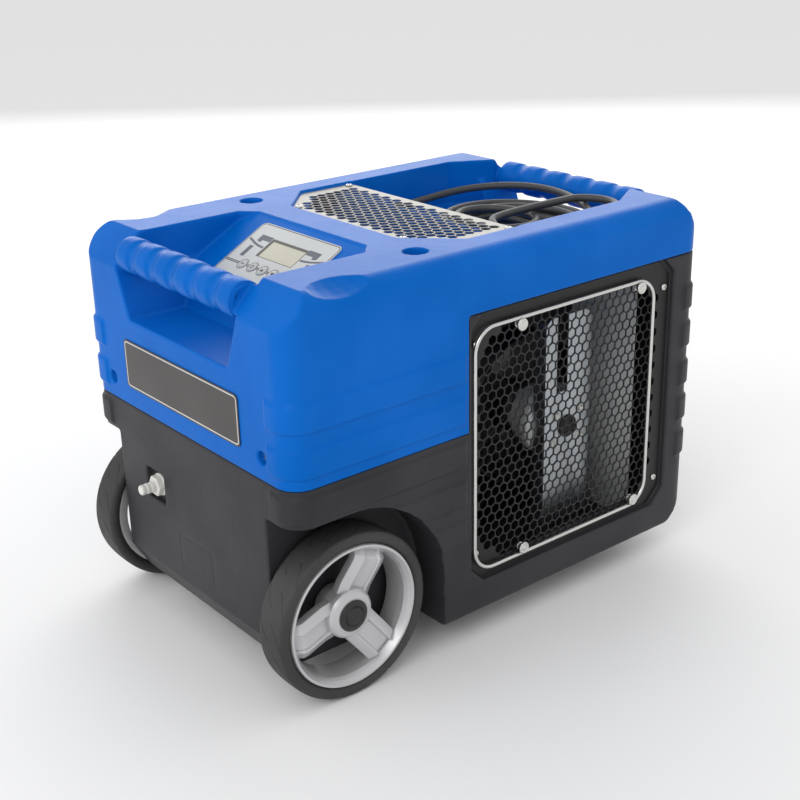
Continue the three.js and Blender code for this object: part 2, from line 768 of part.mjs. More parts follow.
const cordRubber = material(0x555555, 0.6);
addPiece("cord_gland", cordGland(), material(colours.black, 0.5));
addPiece("cord_lead", outsideCoil(leadPoints, 26), cordRubber);
addPiece("cord_tail", outsideCoil(tailPoints, 12), cordRubber);
addPiece("cord_coil", cordRing(0), cordRubber);
addPiece("plug", plugSolid(), material(colours.black, 0.5));

// ---------------------------------------------------------------- fan behind the inlet
function fanBulkhead() {
  const sheet = box([-55, 320], [-58, -54], [body.bottom + body.wall + GAP, 380]);
  const trimmed = sheet.intersect(bodyBlock(-body.wall - GAP));
  const duct = cylinder("y", [fan.x, 0, fan.z], 104, [-100, -54], 40);
  const bore = cylinder("y", [fan.x, 0, fan.z], 100, [-150, 0], 40);
  return trimmed.add(duct).subtract(bore);
}

function fanImpeller() {
  const hub = turned(
    [[0, fan.front + 2], [fan.hub - 4, fan.front], [fan.hub, fan.front + 5], [fan.hub, fan.back], [0, fan.back]],
    "y",
    [0, 0, 0],
    30,
  );
  const blade = box([fan.hub - 3, fan.radius], [-1.6, 1.6], [-24, 24]).rotate([-38, 0, 0]);
  const depth = (fan.front + fan.back) / 2;
  const ring = Array.from({ length: fan.blades }, (_, i) => {
    return blade.rotate([0, (i * 360) / fan.blades, 0]).translate([0, depth, 0]);
  });
  const swept = cylinder("y", [0, 0, 0], fan.radius, [fan.front, fan.back], 40);
  const shaftHole = cylinder("y", [0, 0, 0], 4 + GAP, [-FAR, fan.front + 24], 12);
  return joined([hub, joined(ring).intersect(swept)]).subtract(shaftHole);
}

const strut = { face: -170, depth: 21, top: 362, half: 40, wall: 2, slotFrom: 262 };
const strutBack = strut.face + strut.depth;

function fanMotor() {
  const profile = [
    [0, strutBack + GAP],
    [40, strutBack + GAP],
    [48, strutBack + 5],
    [48, strutBack + 16],
    [40, strutBack + 22],
    [38, -104],
    [34, -99],
    [4, -99],
    [4, fan.front + 20],
    [0, fan.front + 20],
  ];
  return turned(profile, "y", [fan.x, 0, fan.z], 32);
}

// A channel that stands on the case floor in front of the fan and carries the motor on its back.
function motorStrut() {
  const { face, top, half, wall } = strut;
  const outline = roundedRectangle([fan.x - half, fan.x + half], [body.bottom + body.wall + GAP, top], [1, 14]);
  const block = extruded(outline, "y", [face, strutBack]);
  const inside = box([fan.x - half + wall, fan.x + half - wall], [face + wall, 0], [0, FAR]);
  const slot = box([fan.x - 20, fan.x - 1], [-FAR, 0], [strut.slotFrom, FAR]);
  return block.subtract(inside).subtract(slot);
}

// The sheet that closes the duct on the cord side.
function ductBaffle() {
  return box([264, 265.2], [strut.face, -58 - GAP], [body.bottom + body.wall + GAP, 372]);
}

const fanGroup = new THREE.Group();
fanGroup.position.set(fan.x, 0, fan.z);
assembly.add(fanGroup);
addPiece("fan_bulkhead", fanBulkhead(), material(colours.black, 0.6));
addPiece("fan_impeller", fanImpeller(), material(colours.black, 0.5), fanGroup);
addPiece("fan_motor", fanMotor(), material(colours.steel, 0.35, 0.8));
addPiece("motor_strut", motorStrut(), material(colours.steel, 0.4, 0.9));
addPiece("duct_baffle", ductBaffle(), material(colours.steel, 0.4, 0.9));

// ---------------------------------------------------------------- refrigeration circuit
const floorTop = body.bottom + body.wall + GAP;
const coilX = [-30, 250];
const coilZ = [floorTop + 34 + GAP, 380];

// A finned coil: the fin pack between two end plates, with return bends joined on one side.
function finnedCoil([y0, y1]) {
  const pack = box([coilX[0] + 3, coilX[1] - 3], [y0, y1], [coilZ[0] + 2, coilZ[1] - 2]);
  const plates = coilX.map((x, i) => box(i ? [x - 4, x] : [x, x + 4], [y0 - 3, y1 + 3], coilZ));
  const bends = [0, 1, 2, 3].map((i) => {
    const bend = new THREE.TorusGeometry(14, 4, 6, 10);
    bend.rotateY(Math.PI / 2);
    bend.translate(coilX[1] - 2, (y0 + y1) / 2, coilZ[0] + 40 + i * 70);
    return toSolid(bend);
  });
  return joined([pack, ...plates, ...bends]);
}

function compressor() {
  const shell = [
    [0, 14],
    [46, 14],
    [58, 26],
    [60, 34],
    [60, 196],
    [54, 212],
    [24, 226],
    [0, 228],
  ];
  const centre = [-152, 10, floorTop];
  const can = turned(shell, "z", centre, 24);
  const feet = extruded(polygon(circlePoints(-152, 10, 84, 3, Math.PI / 6)), "z", [floorTop + 10, floorTop + 15]);
  const pegs = circlePoints(-152, 10, 70, 3, Math.PI / 6).map(([x, y]) => {
    return cylinder("z", [x, y, floorTop], 8, [0, 14], 12);
  });
  const bottle = turned([[0, 50], [18, 50], [27, 62], [27, 188], [14, 202], [0, 204]], "z", [-152, 106, floorTop]);
  const link = tube([[-152, 50, 118], [-152, 84, 110], [-152, 106, 112]], 6, 8, 6);
  return joined([can, feet, ...pegs, bottle, link]);
}

const suctionPoints = [
  [coilX[0] - GAP, 0, 330],
  [-50, 0, 331],
  [-76, 30, 322],
  [-110, 86, 306],
  [-143, 105, 288],
  [-152, 106, 266],
  [-152, 106, floorTop + 204 + GAP],
];
const dischargePoints = [
  [-152, 10, floorTop + 228 + GAP],
  [-152, 10, 284],
  [-140, 18, 296],
  [-100, 40, 296],
  [-64, 59, 291],
  [-46, 60, 290],
  [coilX[0] - GAP - 0.1, 60, 290],
];

const aluminium = material(colours.silver, 0.5, 0.8);
const copper = material(colours.copper, 0.35, 1);
addPiece("evaporator", finnedCoil([-20, 20]), aluminium);
addPiece("condenser", finnedCoil([42, 82]), aluminium);
addPiece("compressor", compressor(), material(colours.black, 0.4, 0.3));
addPiece("suction_line", tube(suctionPoints, 6, 8, 24), copper);
addPiece("discharge_line", tube(dischargePoints, 4, 8, 20), copper);

// ---------------------------------------------------------------- condensate: tray, sump, pump, float and hose
function openBox(x, y, z, wall) {
  const inner = [x, y].map(([low, high]) => [low + wall, high - wall]);
  return box(x, y, z).subtract(box(inner[0], inner[1], [z[0] + wall, FAR]));
}

const sump = { x: [-100, -48], y: [62, 150], top: 112 };
addPiece("condensate_tray", openBox([-44, 262], [-40, 98], [floorTop, floorTop + 34], 2.5), material(colours.black, 0.6));
addPiece("condensate_sump", openBox(sump.x, sump.y, [floorTop, sump.top], 2.5), material(colours.white, 0.5));

function condensatePump() {
  const bodyBox = box([-96, -52], [104, 148], [sump.top + GAP, sump.top + 44]);
  const intake = cylinder("z", [-74, 126, 0], 9, [60, sump.top + 4], 16);
  const spout = cylinder("z", [-74, 126, 0], 5, [sump.top + 40, sump.top + 58], 12);
  return joined([bodyBox, intake, spout]);
}

const hosePoints = [
  [-74, 126, sump.top + 58 + GAP],
  [-74, 126, 200],
  [-82, 132, 270],
  [-120, 140, 312],
  [-200, 132, 316],
  [-258, 104, 284],
  [-258, 84, 230],
  [-262, 80, 202],
  [-274, 80, 185],
  [-282, 80, 184],
  [body.back + 22 + 2 * GAP, drain.y, drain.z],
];
addPiece("condensate_pump", condensatePump(), material(colours.grey, 0.5));
addPiece("sump_float", cylinder("z", [-74, 82, 0], 14, [52, 70], 20), material(colours.white, 0.5));
addPiece("drain_hose", tube(hosePoints, 5, 8, 36), material(colours.black, 0.5));

// ---------------------------------------------------------------- electrical box under the control panel
const board = box([-222, -126], [-82, 82], [306, 376]);
addPiece("control_box", board, material(colours.silver, 0.5, 0.7));

export default assembly;
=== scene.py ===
"""The looks of a portable dehumidifier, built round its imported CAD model. Metres, +Z up, inlet on -Y."""

import json
import math

import bmesh
import bpy
from mathutils import Matrix, Vector


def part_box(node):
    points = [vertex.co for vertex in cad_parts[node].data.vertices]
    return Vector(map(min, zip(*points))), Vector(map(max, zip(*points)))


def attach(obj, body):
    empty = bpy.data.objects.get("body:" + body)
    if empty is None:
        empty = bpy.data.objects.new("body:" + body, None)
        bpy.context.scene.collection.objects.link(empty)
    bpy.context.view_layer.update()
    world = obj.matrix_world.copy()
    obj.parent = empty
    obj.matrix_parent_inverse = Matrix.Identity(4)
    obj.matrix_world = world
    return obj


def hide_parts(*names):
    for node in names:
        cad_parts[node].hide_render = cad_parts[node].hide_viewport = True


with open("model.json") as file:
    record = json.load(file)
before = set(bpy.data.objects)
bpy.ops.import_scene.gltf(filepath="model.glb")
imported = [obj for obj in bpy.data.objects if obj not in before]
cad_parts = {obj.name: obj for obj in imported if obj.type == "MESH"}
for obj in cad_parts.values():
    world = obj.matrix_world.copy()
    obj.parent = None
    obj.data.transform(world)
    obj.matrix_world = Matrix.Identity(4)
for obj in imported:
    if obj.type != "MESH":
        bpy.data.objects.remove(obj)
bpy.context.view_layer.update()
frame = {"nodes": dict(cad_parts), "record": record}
MM = 0.001


def mm(*values):
    """Millimetres as a vector in metres."""
    return Vector(values) * MM


# ---------------------------------------------------------------- camera, light and floor
CAMERA_PLACE = Vector((-0.99336, -1.23935, 0.88013))
CAMERA_TURN = math.radians(-38.91)
CAMERA_LIFT = math.radians(22.11)
CAMERA_ROLL = math.radians(-1.254)
LENS_MM = 59.6
SENSOR_MM = 36

WORLD_STRENGTH = 0.8
FLOOR_SIDE = 40
FLOOR_COLOUR = (0.93, 0.93, 0.93, 1)
LIGHT_TARGET = (0, 0, 0.3)
# Soft area lights: name, place, size in metres and power in watts.
STUDIO_LIGHTS = [
    ("key", (-2.6, -1.5, 2.4), (1.6, 1.4), 24),
    ("back", (1.9, 2.4, 1.6), (3.6, 2.0), 44),
    ("left", (-2.8, 0.9, 1.5), (1.2, 1.6), 10),
]


def add_camera():
    """The camera at the photograph's viewing angle."""
    data = bpy.data.cameras.new("camera")
    data.lens = LENS_MM
    data.sensor_width = SENSOR_MM
    camera = bpy.data.objects.new("camera", data)
    bpy.context.scene.collection.objects.link(camera)
    turn = Matrix.Rotation(CAMERA_TURN, 4, "Z") @ Matrix.Rotation(math.pi / 2 - CAMERA_LIFT, 4, "X")
    camera.matrix_world = Matrix.Translation(CAMERA_PLACE) @ turn @ Matrix.Rotation(CAMERA_ROLL, 4, "Z")
    bpy.context.scene.camera = camera


def add_area_light(name, place, target, size, power):
    """A rectangular light at a place, turned towards a target."""
    data = bpy.data.lights.new(name, "AREA")
    data.shape = "RECTANGLE"
    data.size, data.size_y = size
    data.energy = power
    light = bpy.data.objects.new(name, data)
    light.location = place
    direction = Vector(target) - Vector(place)
    light.rotation_euler = direction.to_track_quat("-Z", "Y").to_euler()
    bpy.context.scene.collection.objects.link(light)


def add_studio():
    """A white world, three soft lights and a plain pale floor."""
    world = bpy.data.worlds.new("studio")
    world.use_nodes = True
    background = world.node_tree.nodes["Background"]
    background.inputs["Color"].default_value = (1.0, 1.0, 1.0, 1)
    background.inputs["Strength"].default_value = WORLD_STRENGTH
    bpy.context.scene.world = world
    bpy.context.scene.view_settings.view_transform = "Standard"
    for name, place, size, power in STUDIO_LIGHTS:
        add_area_light(name, place, LIGHT_TARGET, size, power)
    bpy.ops.mesh.primitive_plane_add(size=FLOOR_SIDE)
    floor = bpy.context.object
    floor.name = "floor"
    floor.data.materials.append(floor_material())


# ---------------------------------------------------------------- materials
def new_material(name):
    """A node material and a function that adds a node to it."""
    material = bpy.data.materials.new(name)
    material.use_nodes = True
    tree = material.node_tree

    def node(kind, **settings):
        made = tree.nodes.new(kind)
        for key, value in settings.items():
            if hasattr(made, key):
                setattr(made, key, value)
            else:
                made.inputs[key].default_value = value
        return made

    return material, tree, node


def textured(
    name, colour, roughness, grain, metallic=0.0, variation=0.06, rubbing_and_edge_highlight=None, detail=None, shine=0.5
):
    """A surface with colour drift, a rough grain and, if asked, a second relief and worn edges.

    grain is (waves per metre, relief in metres); detail is the same for a larger relief.
    variation is how far the colour drifts, and shine is the shader's specular level.
    The edge argument, (colour, amount), lightens sharp convex edges: partly light rubbing, partly painted
    highlight where edges catch the light.
    """
    material, tree, node = new_material(name)
    link = tree.links.new
    shader = tree.nodes["Principled BSDF"]
    shader.inputs["Metallic"].default_value = metallic
    shader.inputs["Specular IOR Level"].default_value = shine
    place = node("ShaderNodeTexCoord").outputs["Object"]

    drift = node("ShaderNodeTexNoise", Scale=9.0, Detail=3.0)
    link(place, drift.inputs["Vector"])
    tint = node("ShaderNodeValToRGB")
    dark = [channel * (1 - variation) for channel in colour]
    light = [min(1.0, channel * (1 + variation) + 0.004) for channel in colour]
    tint.color_ramp.elements[0].position = 0.35
    tint.color_ramp.elements[0].color = (*dark, 1)
    tint.color_ramp.elements[1].position = 0.65
    tint.color_ramp.elements[1].color = (*light, 1)
    link(drift.outputs["Fac"], tint.inputs["Fac"])
    surface = tint.outputs["Color"]

    # Convex edges get a lighter copy of the colour: partly rubbing, partly painted highlight.
    if rubbing_and_edge_highlight:
        edge = node("ShaderNodeNewGeometry").outputs["Pointiness"]
        sharp = node("ShaderNodeMapRange", **{"From Min": 0.53, "From Max": 0.62, "To Max": rubbing_and_edge_highlight[1]})
        link(edge, sharp.inputs["Value"])
        mix = node("ShaderNodeMix", data_type="RGBA")
        link(sharp.outputs["Result"], mix.inputs["Factor"])
        link(surface, mix.inputs["A"])
        mix.inputs["B"].default_value = (*rubbing_and_edge_highlight[0], 1)
        surface = mix.outputs["Result"]
    link(surface, shader.inputs["Base Color"])

    smudge = node("ShaderNodeTexNoise", Scale=22.0, Detail=5.0)
    link(place, smudge.inputs["Vector"])
    gloss = node("ShaderNodeMapRange", **{"To Min": roughness * 0.85, "To Max": min(1.0, roughness * 1.18)})
    link(smudge.outputs["Fac"], gloss.inputs["Value"])
    link(gloss.outputs["Result"], shader.inputs["Roughness"])

    normal = None
    for relief in (detail, grain):
        if relief is None:
            continue
        bumps = node("ShaderNodeTexNoise", Scale=relief[0], Detail=2.0)
        link(place, bumps.inputs["Vector"])
        bump = node("ShaderNodeBump", Strength=0.6, Distance=relief[1])
        link(bumps.outputs["Fac"], bump.inputs["Height"])
        if normal is not None:
            link(normal, bump.inputs["Normal"])
        normal = bump.outputs["Normal"]
    link(normal, shader.inputs["Normal"])
    return material


def floor_material():
    material, tree, _ = new_material("floor")
    shader = tree.nodes["Principled BSDF"]
    shader.inputs["Base Color"].default_value = FLOOR_COLOUR
    shader.inputs["Roughness"].default_value = 0.8
    return material


def brushed_metal(name, colour, roughness, stretch=(1, 1, 40)):
    """Bright metal with fine parallel scratches across the stretched axis."""
    material, tree, node = new_material(name)
    link = tree.links.new
    shader = tree.nodes["Principled BSDF"]
    shader.inputs["Metallic"].default_value = 1.0
    shader.inputs["Base Color"].default_value = (*colour, 1)
    place = node("ShaderNodeTexCoord").outputs["Object"]
    mapping = node("ShaderNodeMapping")
    mapping.inputs["Scale"].default_value = stretch
    link(place, mapping.inputs["Vector"])
    lines = node("ShaderNodeTexNoise", Scale=260.0, Detail=4.0)
    link(mapping.outputs["Vector"], lines.inputs["Vector"])
    gloss = node("ShaderNodeMapRange", **{"To Min": roughness * 0.7, "To Max": roughness * 1.4})
    link(lines.outputs["Fac"], gloss.inputs["Value"])
    link(gloss.outputs["Result"], shader.inputs["Roughness"])
    bump = node("ShaderNodeBump", Strength=0.25, Distance=0.00006)
    link(lines.outputs["Fac"], bump.inputs["Height"])
    link(bump.outputs["Normal"], shader.inputs["Normal"])
    return material


# The lighter edge colour of both shells is partly painted highlight along their edges, partly rubbing.
BLUE = textured(
    "blue_polyethylene", (0.0, 0.128, 0.54), 0.3, (900, 0.00022), variation=0.05,
    rubbing_and_edge_highlight=((0.02, 0.22, 0.68), 0.3), detail=(60, 0.0004), shine=0.06,
)
GREY = textured(
    "grey_polyethylene", (0.032, 0.031, 0.035), 0.45, (1400, 0.0003), variation=0.12,
    rubbing_and_edge_highlight=((0.09, 0.09, 0.1), 0.5), detail=(70, 0.0005), shine=0.2,
)
BLACK_SHEET = textured(
    "black_powder_coat", (0.010, 0.0095, 0.010), 0.42, (2600, 0.00012), variation=0.1, shine=0.35
)
BLACK_PLASTIC = textured("black_plastic", (0.012, 0.012, 0.013), 0.42, (1500, 0.0001), variation=0.1)
TYRE = textured(
    "tyre_rubber", (0.030, 0.030, 0.029), 0.62, (1200, 0.0002), variation=0.2, detail=(120, 0.0003)
)
FOOT = textured("foot_rubber", (0.02, 0.02, 0.02), 0.75, (900, 0.0002), variation=0.15)
RIM = textured(
    "silver_paint", (0.56, 0.56, 0.57), 0.34, (2200, 0.00006), metallic=0.55, variation=0.04
)
JACKET = textured("cord_jacket", (0.045, 0.046, 0.049), 0.46, (700, 0.00018), variation=0.12)
OVERLAY = textured("panel_overlay", (0.56, 0.58, 0.57), 0.42, (1800, 0.00005), variation=0.03)
INK = textured("panel_ink", (0.11, 0.12, 0.15), 0.45, (1800, 0.00004), variation=0.05)
DARK_INK = textured(
    "panel_dark_ink", (0.012, 0.012, 0.014), 0.45, (1800, 0.00004), variation=0.05
)
# Painted shadow: a dark frame for the shade that the recessed display window casts on its glass.
DISPLAY_PAINTED_SHADOW = textured("display_painted_shadow", (0.10, 0.095, 0.075), 0.4, (1800, 0.00004), variation=0.1)
KEY = textured("key_face", (0.50, 0.51, 0.50), 0.45, (1500, 0.00006), variation=0.04)
DISPLAY = textured("display_glass", (0.60, 0.585, 0.47), 0.16, (40, 0.00004), variation=0.03)
PLATE = textured("name_plate_face", (0.030, 0.025, 0.023), 0.3, (900, 0.00004), variation=0.2)
PLATE_BORDER = textured("name_plate_border", (0.62, 0.61, 0.59), 0.35, (900, 0.00004), variation=0.04)
WHITE_PLASTIC = textured("white_acetal", (0.74, 0.73, 0.69), 0.34, (900, 0.00006), variation=0.05)
ENAMEL = textured("black_enamel", (0.012, 0.012, 0.013), 0.22, (300, 0.0001), variation=0.1)
FINS = textured("coil_fins", (0.55, 0.56, 0.57), 0.4, (500, 0.0003), metallic=0.9, variation=0.08)
STEEL = brushed_metal("stainless", (0.66, 0.655, 0.63), 0.26)
SHEET_STEEL = brushed_metal("stainless_sheet", (0.40, 0.39, 0.365), 0.5, (40, 1, 1))
CASTING = textured(
    "motor_casting", (0.62, 0.63, 0.63), 0.45, (600, 0.0001), metallic=0.2, variation=0.06
)
# Painted highlight: the galvanised duct baffle is made near white all over, so that its edge shows the
# bright line it catches behind the inlet.
GALVANISED_PAINTED_HIGHLIGHT = textured("galvanised_painted_highlight", (0.80, 0.81, 0.82), 0.4, (600, 0.0001), variation=0.06)
ZINC = brushed_metal("zinc_plate", (0.56, 0.6, 0.63), 0.34, (1, 1, 8))
COPPER = brushed_metal("copper", (0.72, 0.36, 0.22), 0.3, (1, 1, 6))


# ---------------------------------------------------------------- mesh helpers
def add_object(name, data, material, sharp_angle=None):
    """An object of its own with one material, smooth up to a sharp angle in degrees if one is given."""
    made = bpy.data.objects.new(name, data)
    bpy.context.scene.collection.objects.link(made)
    data.materials.clear()
    data.materials.append(material)
    if sharp_angle is not None:
        data.shade_smooth()
        data.set_sharp_from_angle(angle=math.radians(sharp_angle))
    return made


def baked(obj, sharp_angle=None):
    """Applies an object's modifiers, or turns a curve into a mesh, in place."""
    depsgraph = bpy.context.evaluated_depsgraph_get()
    mesh = bpy.data.meshes.new_from_object(obj.evaluated_get(depsgraph))
    name = obj.name
    material = obj.data.materials[0]
    world = obj.matrix_world.copy()
    bpy.data.objects.remove(obj)
    made = add_object(name, mesh, material, sharp_angle)
    made.matrix_world = world
    return made


def bevelled(obj, width, segments=2, sharp_angle=30):
    """Rounds every edge sharper than 30 degrees by a width in millimetres."""
    bevel = obj.modifiers.new("bevel", "BEVEL")
    bevel.width = width * MM
    bevel.segments = segments
    bevel.limit_method = "ANGLE"
    bevel.angle_limit = math.radians(30)
    return baked(obj, sharp_angle)


def mesh_of(shape):
    """Closes a bmesh into a mesh with its faces pointing out."""
    bmesh.ops.recalc_face_normals(shape, faces=shape.faces)
    mesh = bpy.data.meshes.new("mesh")
    shape.to_mesh(mesh)
    shape.free()
    return mesh


def place(obj, body, slot, *nodes):
    """Puts a finished piece on its body and hides what it stands for."""
    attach(obj, body)
    if nodes:
        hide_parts(*nodes)
    return obj


def refined(node, material, width, name=None):
    """A copy of a CAD node with its flat faces merged and its edges rounded."""
    made = add_object(name or node + "_fine", frame["nodes"][node].data.copy(), material)
    shape = bmesh.new()
    shape.from_mesh(made.data)
    bmesh.ops.remove_doubles(shape, verts=shape.verts, dist=0.01 * MM)
    bmesh.ops.dissolve_limit(shape, angle_limit=math.radians(0.5), verts=shape.verts, edges=shape.edges)
    shape.to_mesh(made.data)
    shape.free()
    return bevelled(made, width)


def voxel_skin(obj, voxel, rounds):
    """Remeshes an object at a voxel size in metres and smooths it, as a moulding or casting is."""
    remesh = obj.modifiers.new("remesh", "REMESH")
    remesh.mode = "VOXEL"
    remesh.voxel_size = voxel
    smooth = obj.modifiers.new("smooth", "SMOOTH")
    smooth.factor = 0.5
    smooth.iterations = rounds
    return baked(obj, 180)


def corner_arc(points, i, radius, steps):
    """The arc that replaces corner i of an outline."""
    here = points[i]
    before = points[i - 1] - here
    after = points[(i + 1) % len(points)] - here
    half = before.angle(after) / 2
    reach = min(radius / math.tan(half), 0.45 * before.length, 0.45 * after.length)
    radius = reach * math.tan(half)
    middle = (before.normalized() + after.normalized()).normalized()
    centre = here + middle * (radius / math.sin(half))
    start = here + before.normalized() * reach
    end = here + after.normalized() * reach
    spread = [start.lerp(end, k / steps) - centre for k in range(steps + 1)]
    return [centre + spoke.normalized() * radius for spoke in spread]


def rounded(outline, radius, steps=5, closed=True):
    """An outline in the plane with its corners turned into arcs."""
    points = [Vector(point) for point in outline]
    result = []
    for i, point in enumerate(points):
        if not closed and i in (0, len(points) - 1):
            result.append(point)
        else:
            result.extend(corner_arc(points, i, radius, steps))
    return result


def rectangle(x0, x1, y0, y1):
    """A rectangle as an outline."""
    return [(x0, y0), (x1, y0), (x1, y1), (x0, y1)]


def lathe(name, profile, material, segments=48, closed=False, ripple=None, sharp_angle=35):
    """A profile of (radius, height) in millimetres turned about +Z.

    ripple(angle, radius, height) gives how far a point's radius is shifted.
    """
    shape = bmesh.new()
    rings = []
    for radius, height in profile:
        if radius < 1e-6:
            rings.append([shape.verts.new((0, 0, height * MM))])
            continue
        ring = []
        for i in range(segments):
            angle = 2 * math.pi * i / segments
            shift = ripple(angle, radius, height) if ripple else 0
            reach = (radius + shift) * MM
            ring.append(shape.verts.new((reach * math.cos(angle), reach * math.sin(angle), height * MM)))
        rings.append(ring)
    pairs = list(zip(rings, rings[1:]))
    if closed:
        pairs.append((rings[-1], rings[0]))
    for low, high in pairs:
        for i in range(segments):
            j = (i + 1) % segments
            below = [low[i % len(low)], low[j % len(low)]]
            above = [high[j % len(high)], high[i % len(high)]]
            corners = list(dict.fromkeys(below + above))
            if len(corners) > 2:
                shape.faces.new(corners)
    return add_object(name, mesh_of(shape), material, sharp_angle)


def turn_to(axis, centre, spin=0.0):
    """The matrix that stands an object's +Z along an axis at a centre in millimetres."""
    turn = Vector(axis).to_track_quat("Z", "Y").to_matrix().to_4x4()
    return Matrix.Translation(mm(*centre)) @ turn @ Matrix.Rotation(spin, 4, "Z")


def sheet_metal(name, outline, holes, thickness, edge, material):
    """A flat plate in the XY plane, lying on z = 0, with holes and slightly rounded edges."""
    curve = bpy.data.curves.new(name, "CURVE")
    curve.dimensions = "2D"
    curve.fill_mode = "BOTH"
    curve.extrude = (thickness / 2 - edge) * MM
    curve.bevel_depth = edge * MM
    curve.bevel_resolution = 1
    curve.offset = -edge * MM
    for points in [outline, *holes]:
        spline = curve.splines.new("POLY")
        spline.points.add(len(points) - 1)
        for target, point in zip(spline.points, points):
            target.co = (point[0] * MM, point[1] * MM, 0, 1)
        spline.use_cyclic_u = True
    made = baked(add_object(name, curve, material), 40)
    made.data.transform(Matrix.Translation(mm(0, 0, thickness / 2)))
    return made


def rod(name, points, radius, material, closed=False, resolution=6):
    """A round rod or wire through points in millimetres."""
    curve = bpy.data.curves.new(name, "CURVE")
    curve.dimensions = "3D"
    curve.bevel_depth = radius * MM
    curve.bevel_resolution = resolution
    curve.use_fill_caps = True
    spline = curve.splines.new("POLY")
    spline.points.add(len(points) - 1)
    for target, point in zip(spline.points, points):
        target.co = (*(Vector(point) * MM), 1)
    spline.use_cyclic_u = closed
    return baked(add_object(name, curve, material), 60)


def joined(name, parts):
    """Several objects as one, each kept at its place."""
    shape = bmesh.new()
    for part in parts:
        mesh = part.data.copy()
        mesh.transform(part.matrix_world)
        shape.from_mesh(mesh)
    mesh = bpy.data.meshes.new(name)
    shape.to_mesh(mesh)
    shape.free()
    material = parts[0].data.materials[0]
    for part in parts:
        bpy.data.objects.remove(part)
    return add_object(name, mesh, material, 35)


def copied(source, name, matrix):
    """Another object like the source, placed by a matrix."""
    made = bpy.data.objects.new(name, source.data.copy())
    bpy.context.scene.collection.objects.link(made)
    made.matrix_world = matrix
    return made


def size_mm(node):
    """A CAD node's lowest and highest corners, in millimetres."""
    low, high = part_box(node)
    return low / MM, high / MM


# ---------------------------------------------------------------- power cord
CORD_RADIUS = 5
CORD_PITCH = 10.4
GLAND_POINTS = [(58.3, 132, 446), (72, 132, 446), (100, 134, 445.5), (139, 134, 446), (192, 131, 451)]
LEAD_POINTS = [
    *GLAND_POINTS, (228, 114, 457), (260, 80, 462), (279, 35, 465), (280, -15, 465), (264, -64, 464),
]
ONTO_COIL = [(242, -106, 463), (208, -136, 462.5), (165, -150, 462.5), (130, -152, 463)]
TAIL_POINTS = [(118, -149, 431), (88, -138, 433), (65, -116, 436), (56, -99, 437.6), (55, -86, 438)]
# Loose turns, from the last one laid down to the first:
# centre x and y, half widths along x and y, straight half length and height.
LOOSE_TURNS = [
    (161, -113, 41, 41, 61, 473.5),
    (127, -52, 45, 56, 0, 463),
    (170, -53, 72, 80, 0, 452),
    (167, -47, 88, 101, 0, 452),
]
STACK = {"x": 168, "y": -47, "half_x": 88, "half_y": 107, "top": 452, "drop": 10.6, "turns": 3.4}
STACK_STEPS = 24  # points in a full turn
LANDING = 0.24  # part of a turn over which the last loose turn lies down on the stack
STEP_DOWN = 0.2  # part of a turn over which the top layer steps down to the bottom one
FIRST_BEND = {"x": 116, "y": -112.5, "radius": 40, "height": 464, "rise": 9.5}
BEND_STEPS = 5
TURN_STEP = 15  # degrees between the points of a loose turn


def smooth_step(value):
    """Runs smoothly from 0 to 1 as the value does."""
    value = max(0.0, min(1.0, value))
    return value * value * (3 - 2 * value)


def loose_point(turn, degrees):
    """A point of one loose turn: an oval with a straight stretch between its round ends."""
    x, y, half_x, half_y, straight, z = turn
    across = math.cos(math.radians(degrees))
    side = 0 if abs(across) < 1e-6 else math.copysign(1, across)
    return Vector((x + straight * side + half_x * across, y + half_y * math.sin(math.radians(degrees)), z))


def stack_point(turns):
    """A point of the neat stack: it spirals in on its top layer and out again on its bottom layer."""
    per_layer = STACK["turns"]
    inward = CORD_PITCH * min(turns, 2 * per_layer - turns)
    landed = smooth_step((turns + LANDING / 2) / LANDING)
    stepped = smooth_step((turns - per_layer + STEP_DOWN / 2) / STEP_DOWN)
    drops = landed + stepped
    angle = math.pi - 2 * math.pi * turns
    return Vector((
        STACK["x"] + (STACK["half_x"] - inward) * math.cos(angle),
        STACK["y"] + (STACK["half_y"] - inward) * math.sin(angle),
        STACK["top"] - STACK["drop"] * drops,
    ))


def first_bend():
    """The bend under the grille where the lead turns back over the coil."""
    radius = FIRST_BEND["radius"]
    points = []
    for k in range(BEND_STEPS + 1):
        angle = math.radians(-105 - 2 * TURN_STEP * k)
        height = FIRST_BEND["height"] + FIRST_BEND["rise"] * smooth_step(k / BEND_STEPS)
        x = FIRST_BEND["x"] + radius * math.cos(angle)
        y = FIRST_BEND["y"] + radius * math.sin(angle)
        points.append(Vector((x, y, height)))
    return points


def loose_turns():
    """The loose turns, each blended into the next one on the side under the grille.

    Angles are in degrees and fall: a turn is its own oval down to -135, then bends into the next turn,
    and the last one bends into the stack.
    """
    points = []
    for k, turn in enumerate(LOOSE_TURNS):
        last = k + 1 == len(LOOSE_TURNS)
        first_angle = 75 if k == 0 else 135
        points.extend(loose_point(turn, angle) for angle in range(first_angle, -136, -TURN_STEP))
        begin = -160 if k == 0 else -135
        span = 75 if k == 0 else (45 if last else 90)
        for angle in range(-150, -165 if last else -225, -TURN_STEP):
            here = loose_point(turn, angle)
            there = stack_point((-angle - 180) / 360) if last else loose_point(LOOSE_TURNS[k + 1], angle)
            weight = smooth_step((begin - angle) / span)
            rise = weight if last else smooth_step((-165 - angle) / 60)
            mixed = here.lerp(there, weight)
            mixed.z = here.z + (there.z - here.z) * rise
            points.append(mixed)
    return points


def cord_route():
    """The whole centreline in millimetres, from the gland to the plug."""
    steps = int((2 * STACK["turns"] - 0.02) * STACK_STEPS)
    stack = [stack_point(step / STACK_STEPS) for step in range(steps + 1)]
    return [*LEAD_POINTS, *ONTO_COIL, *first_bend(), *loose_turns(), *stack, *TAIL_POINTS]


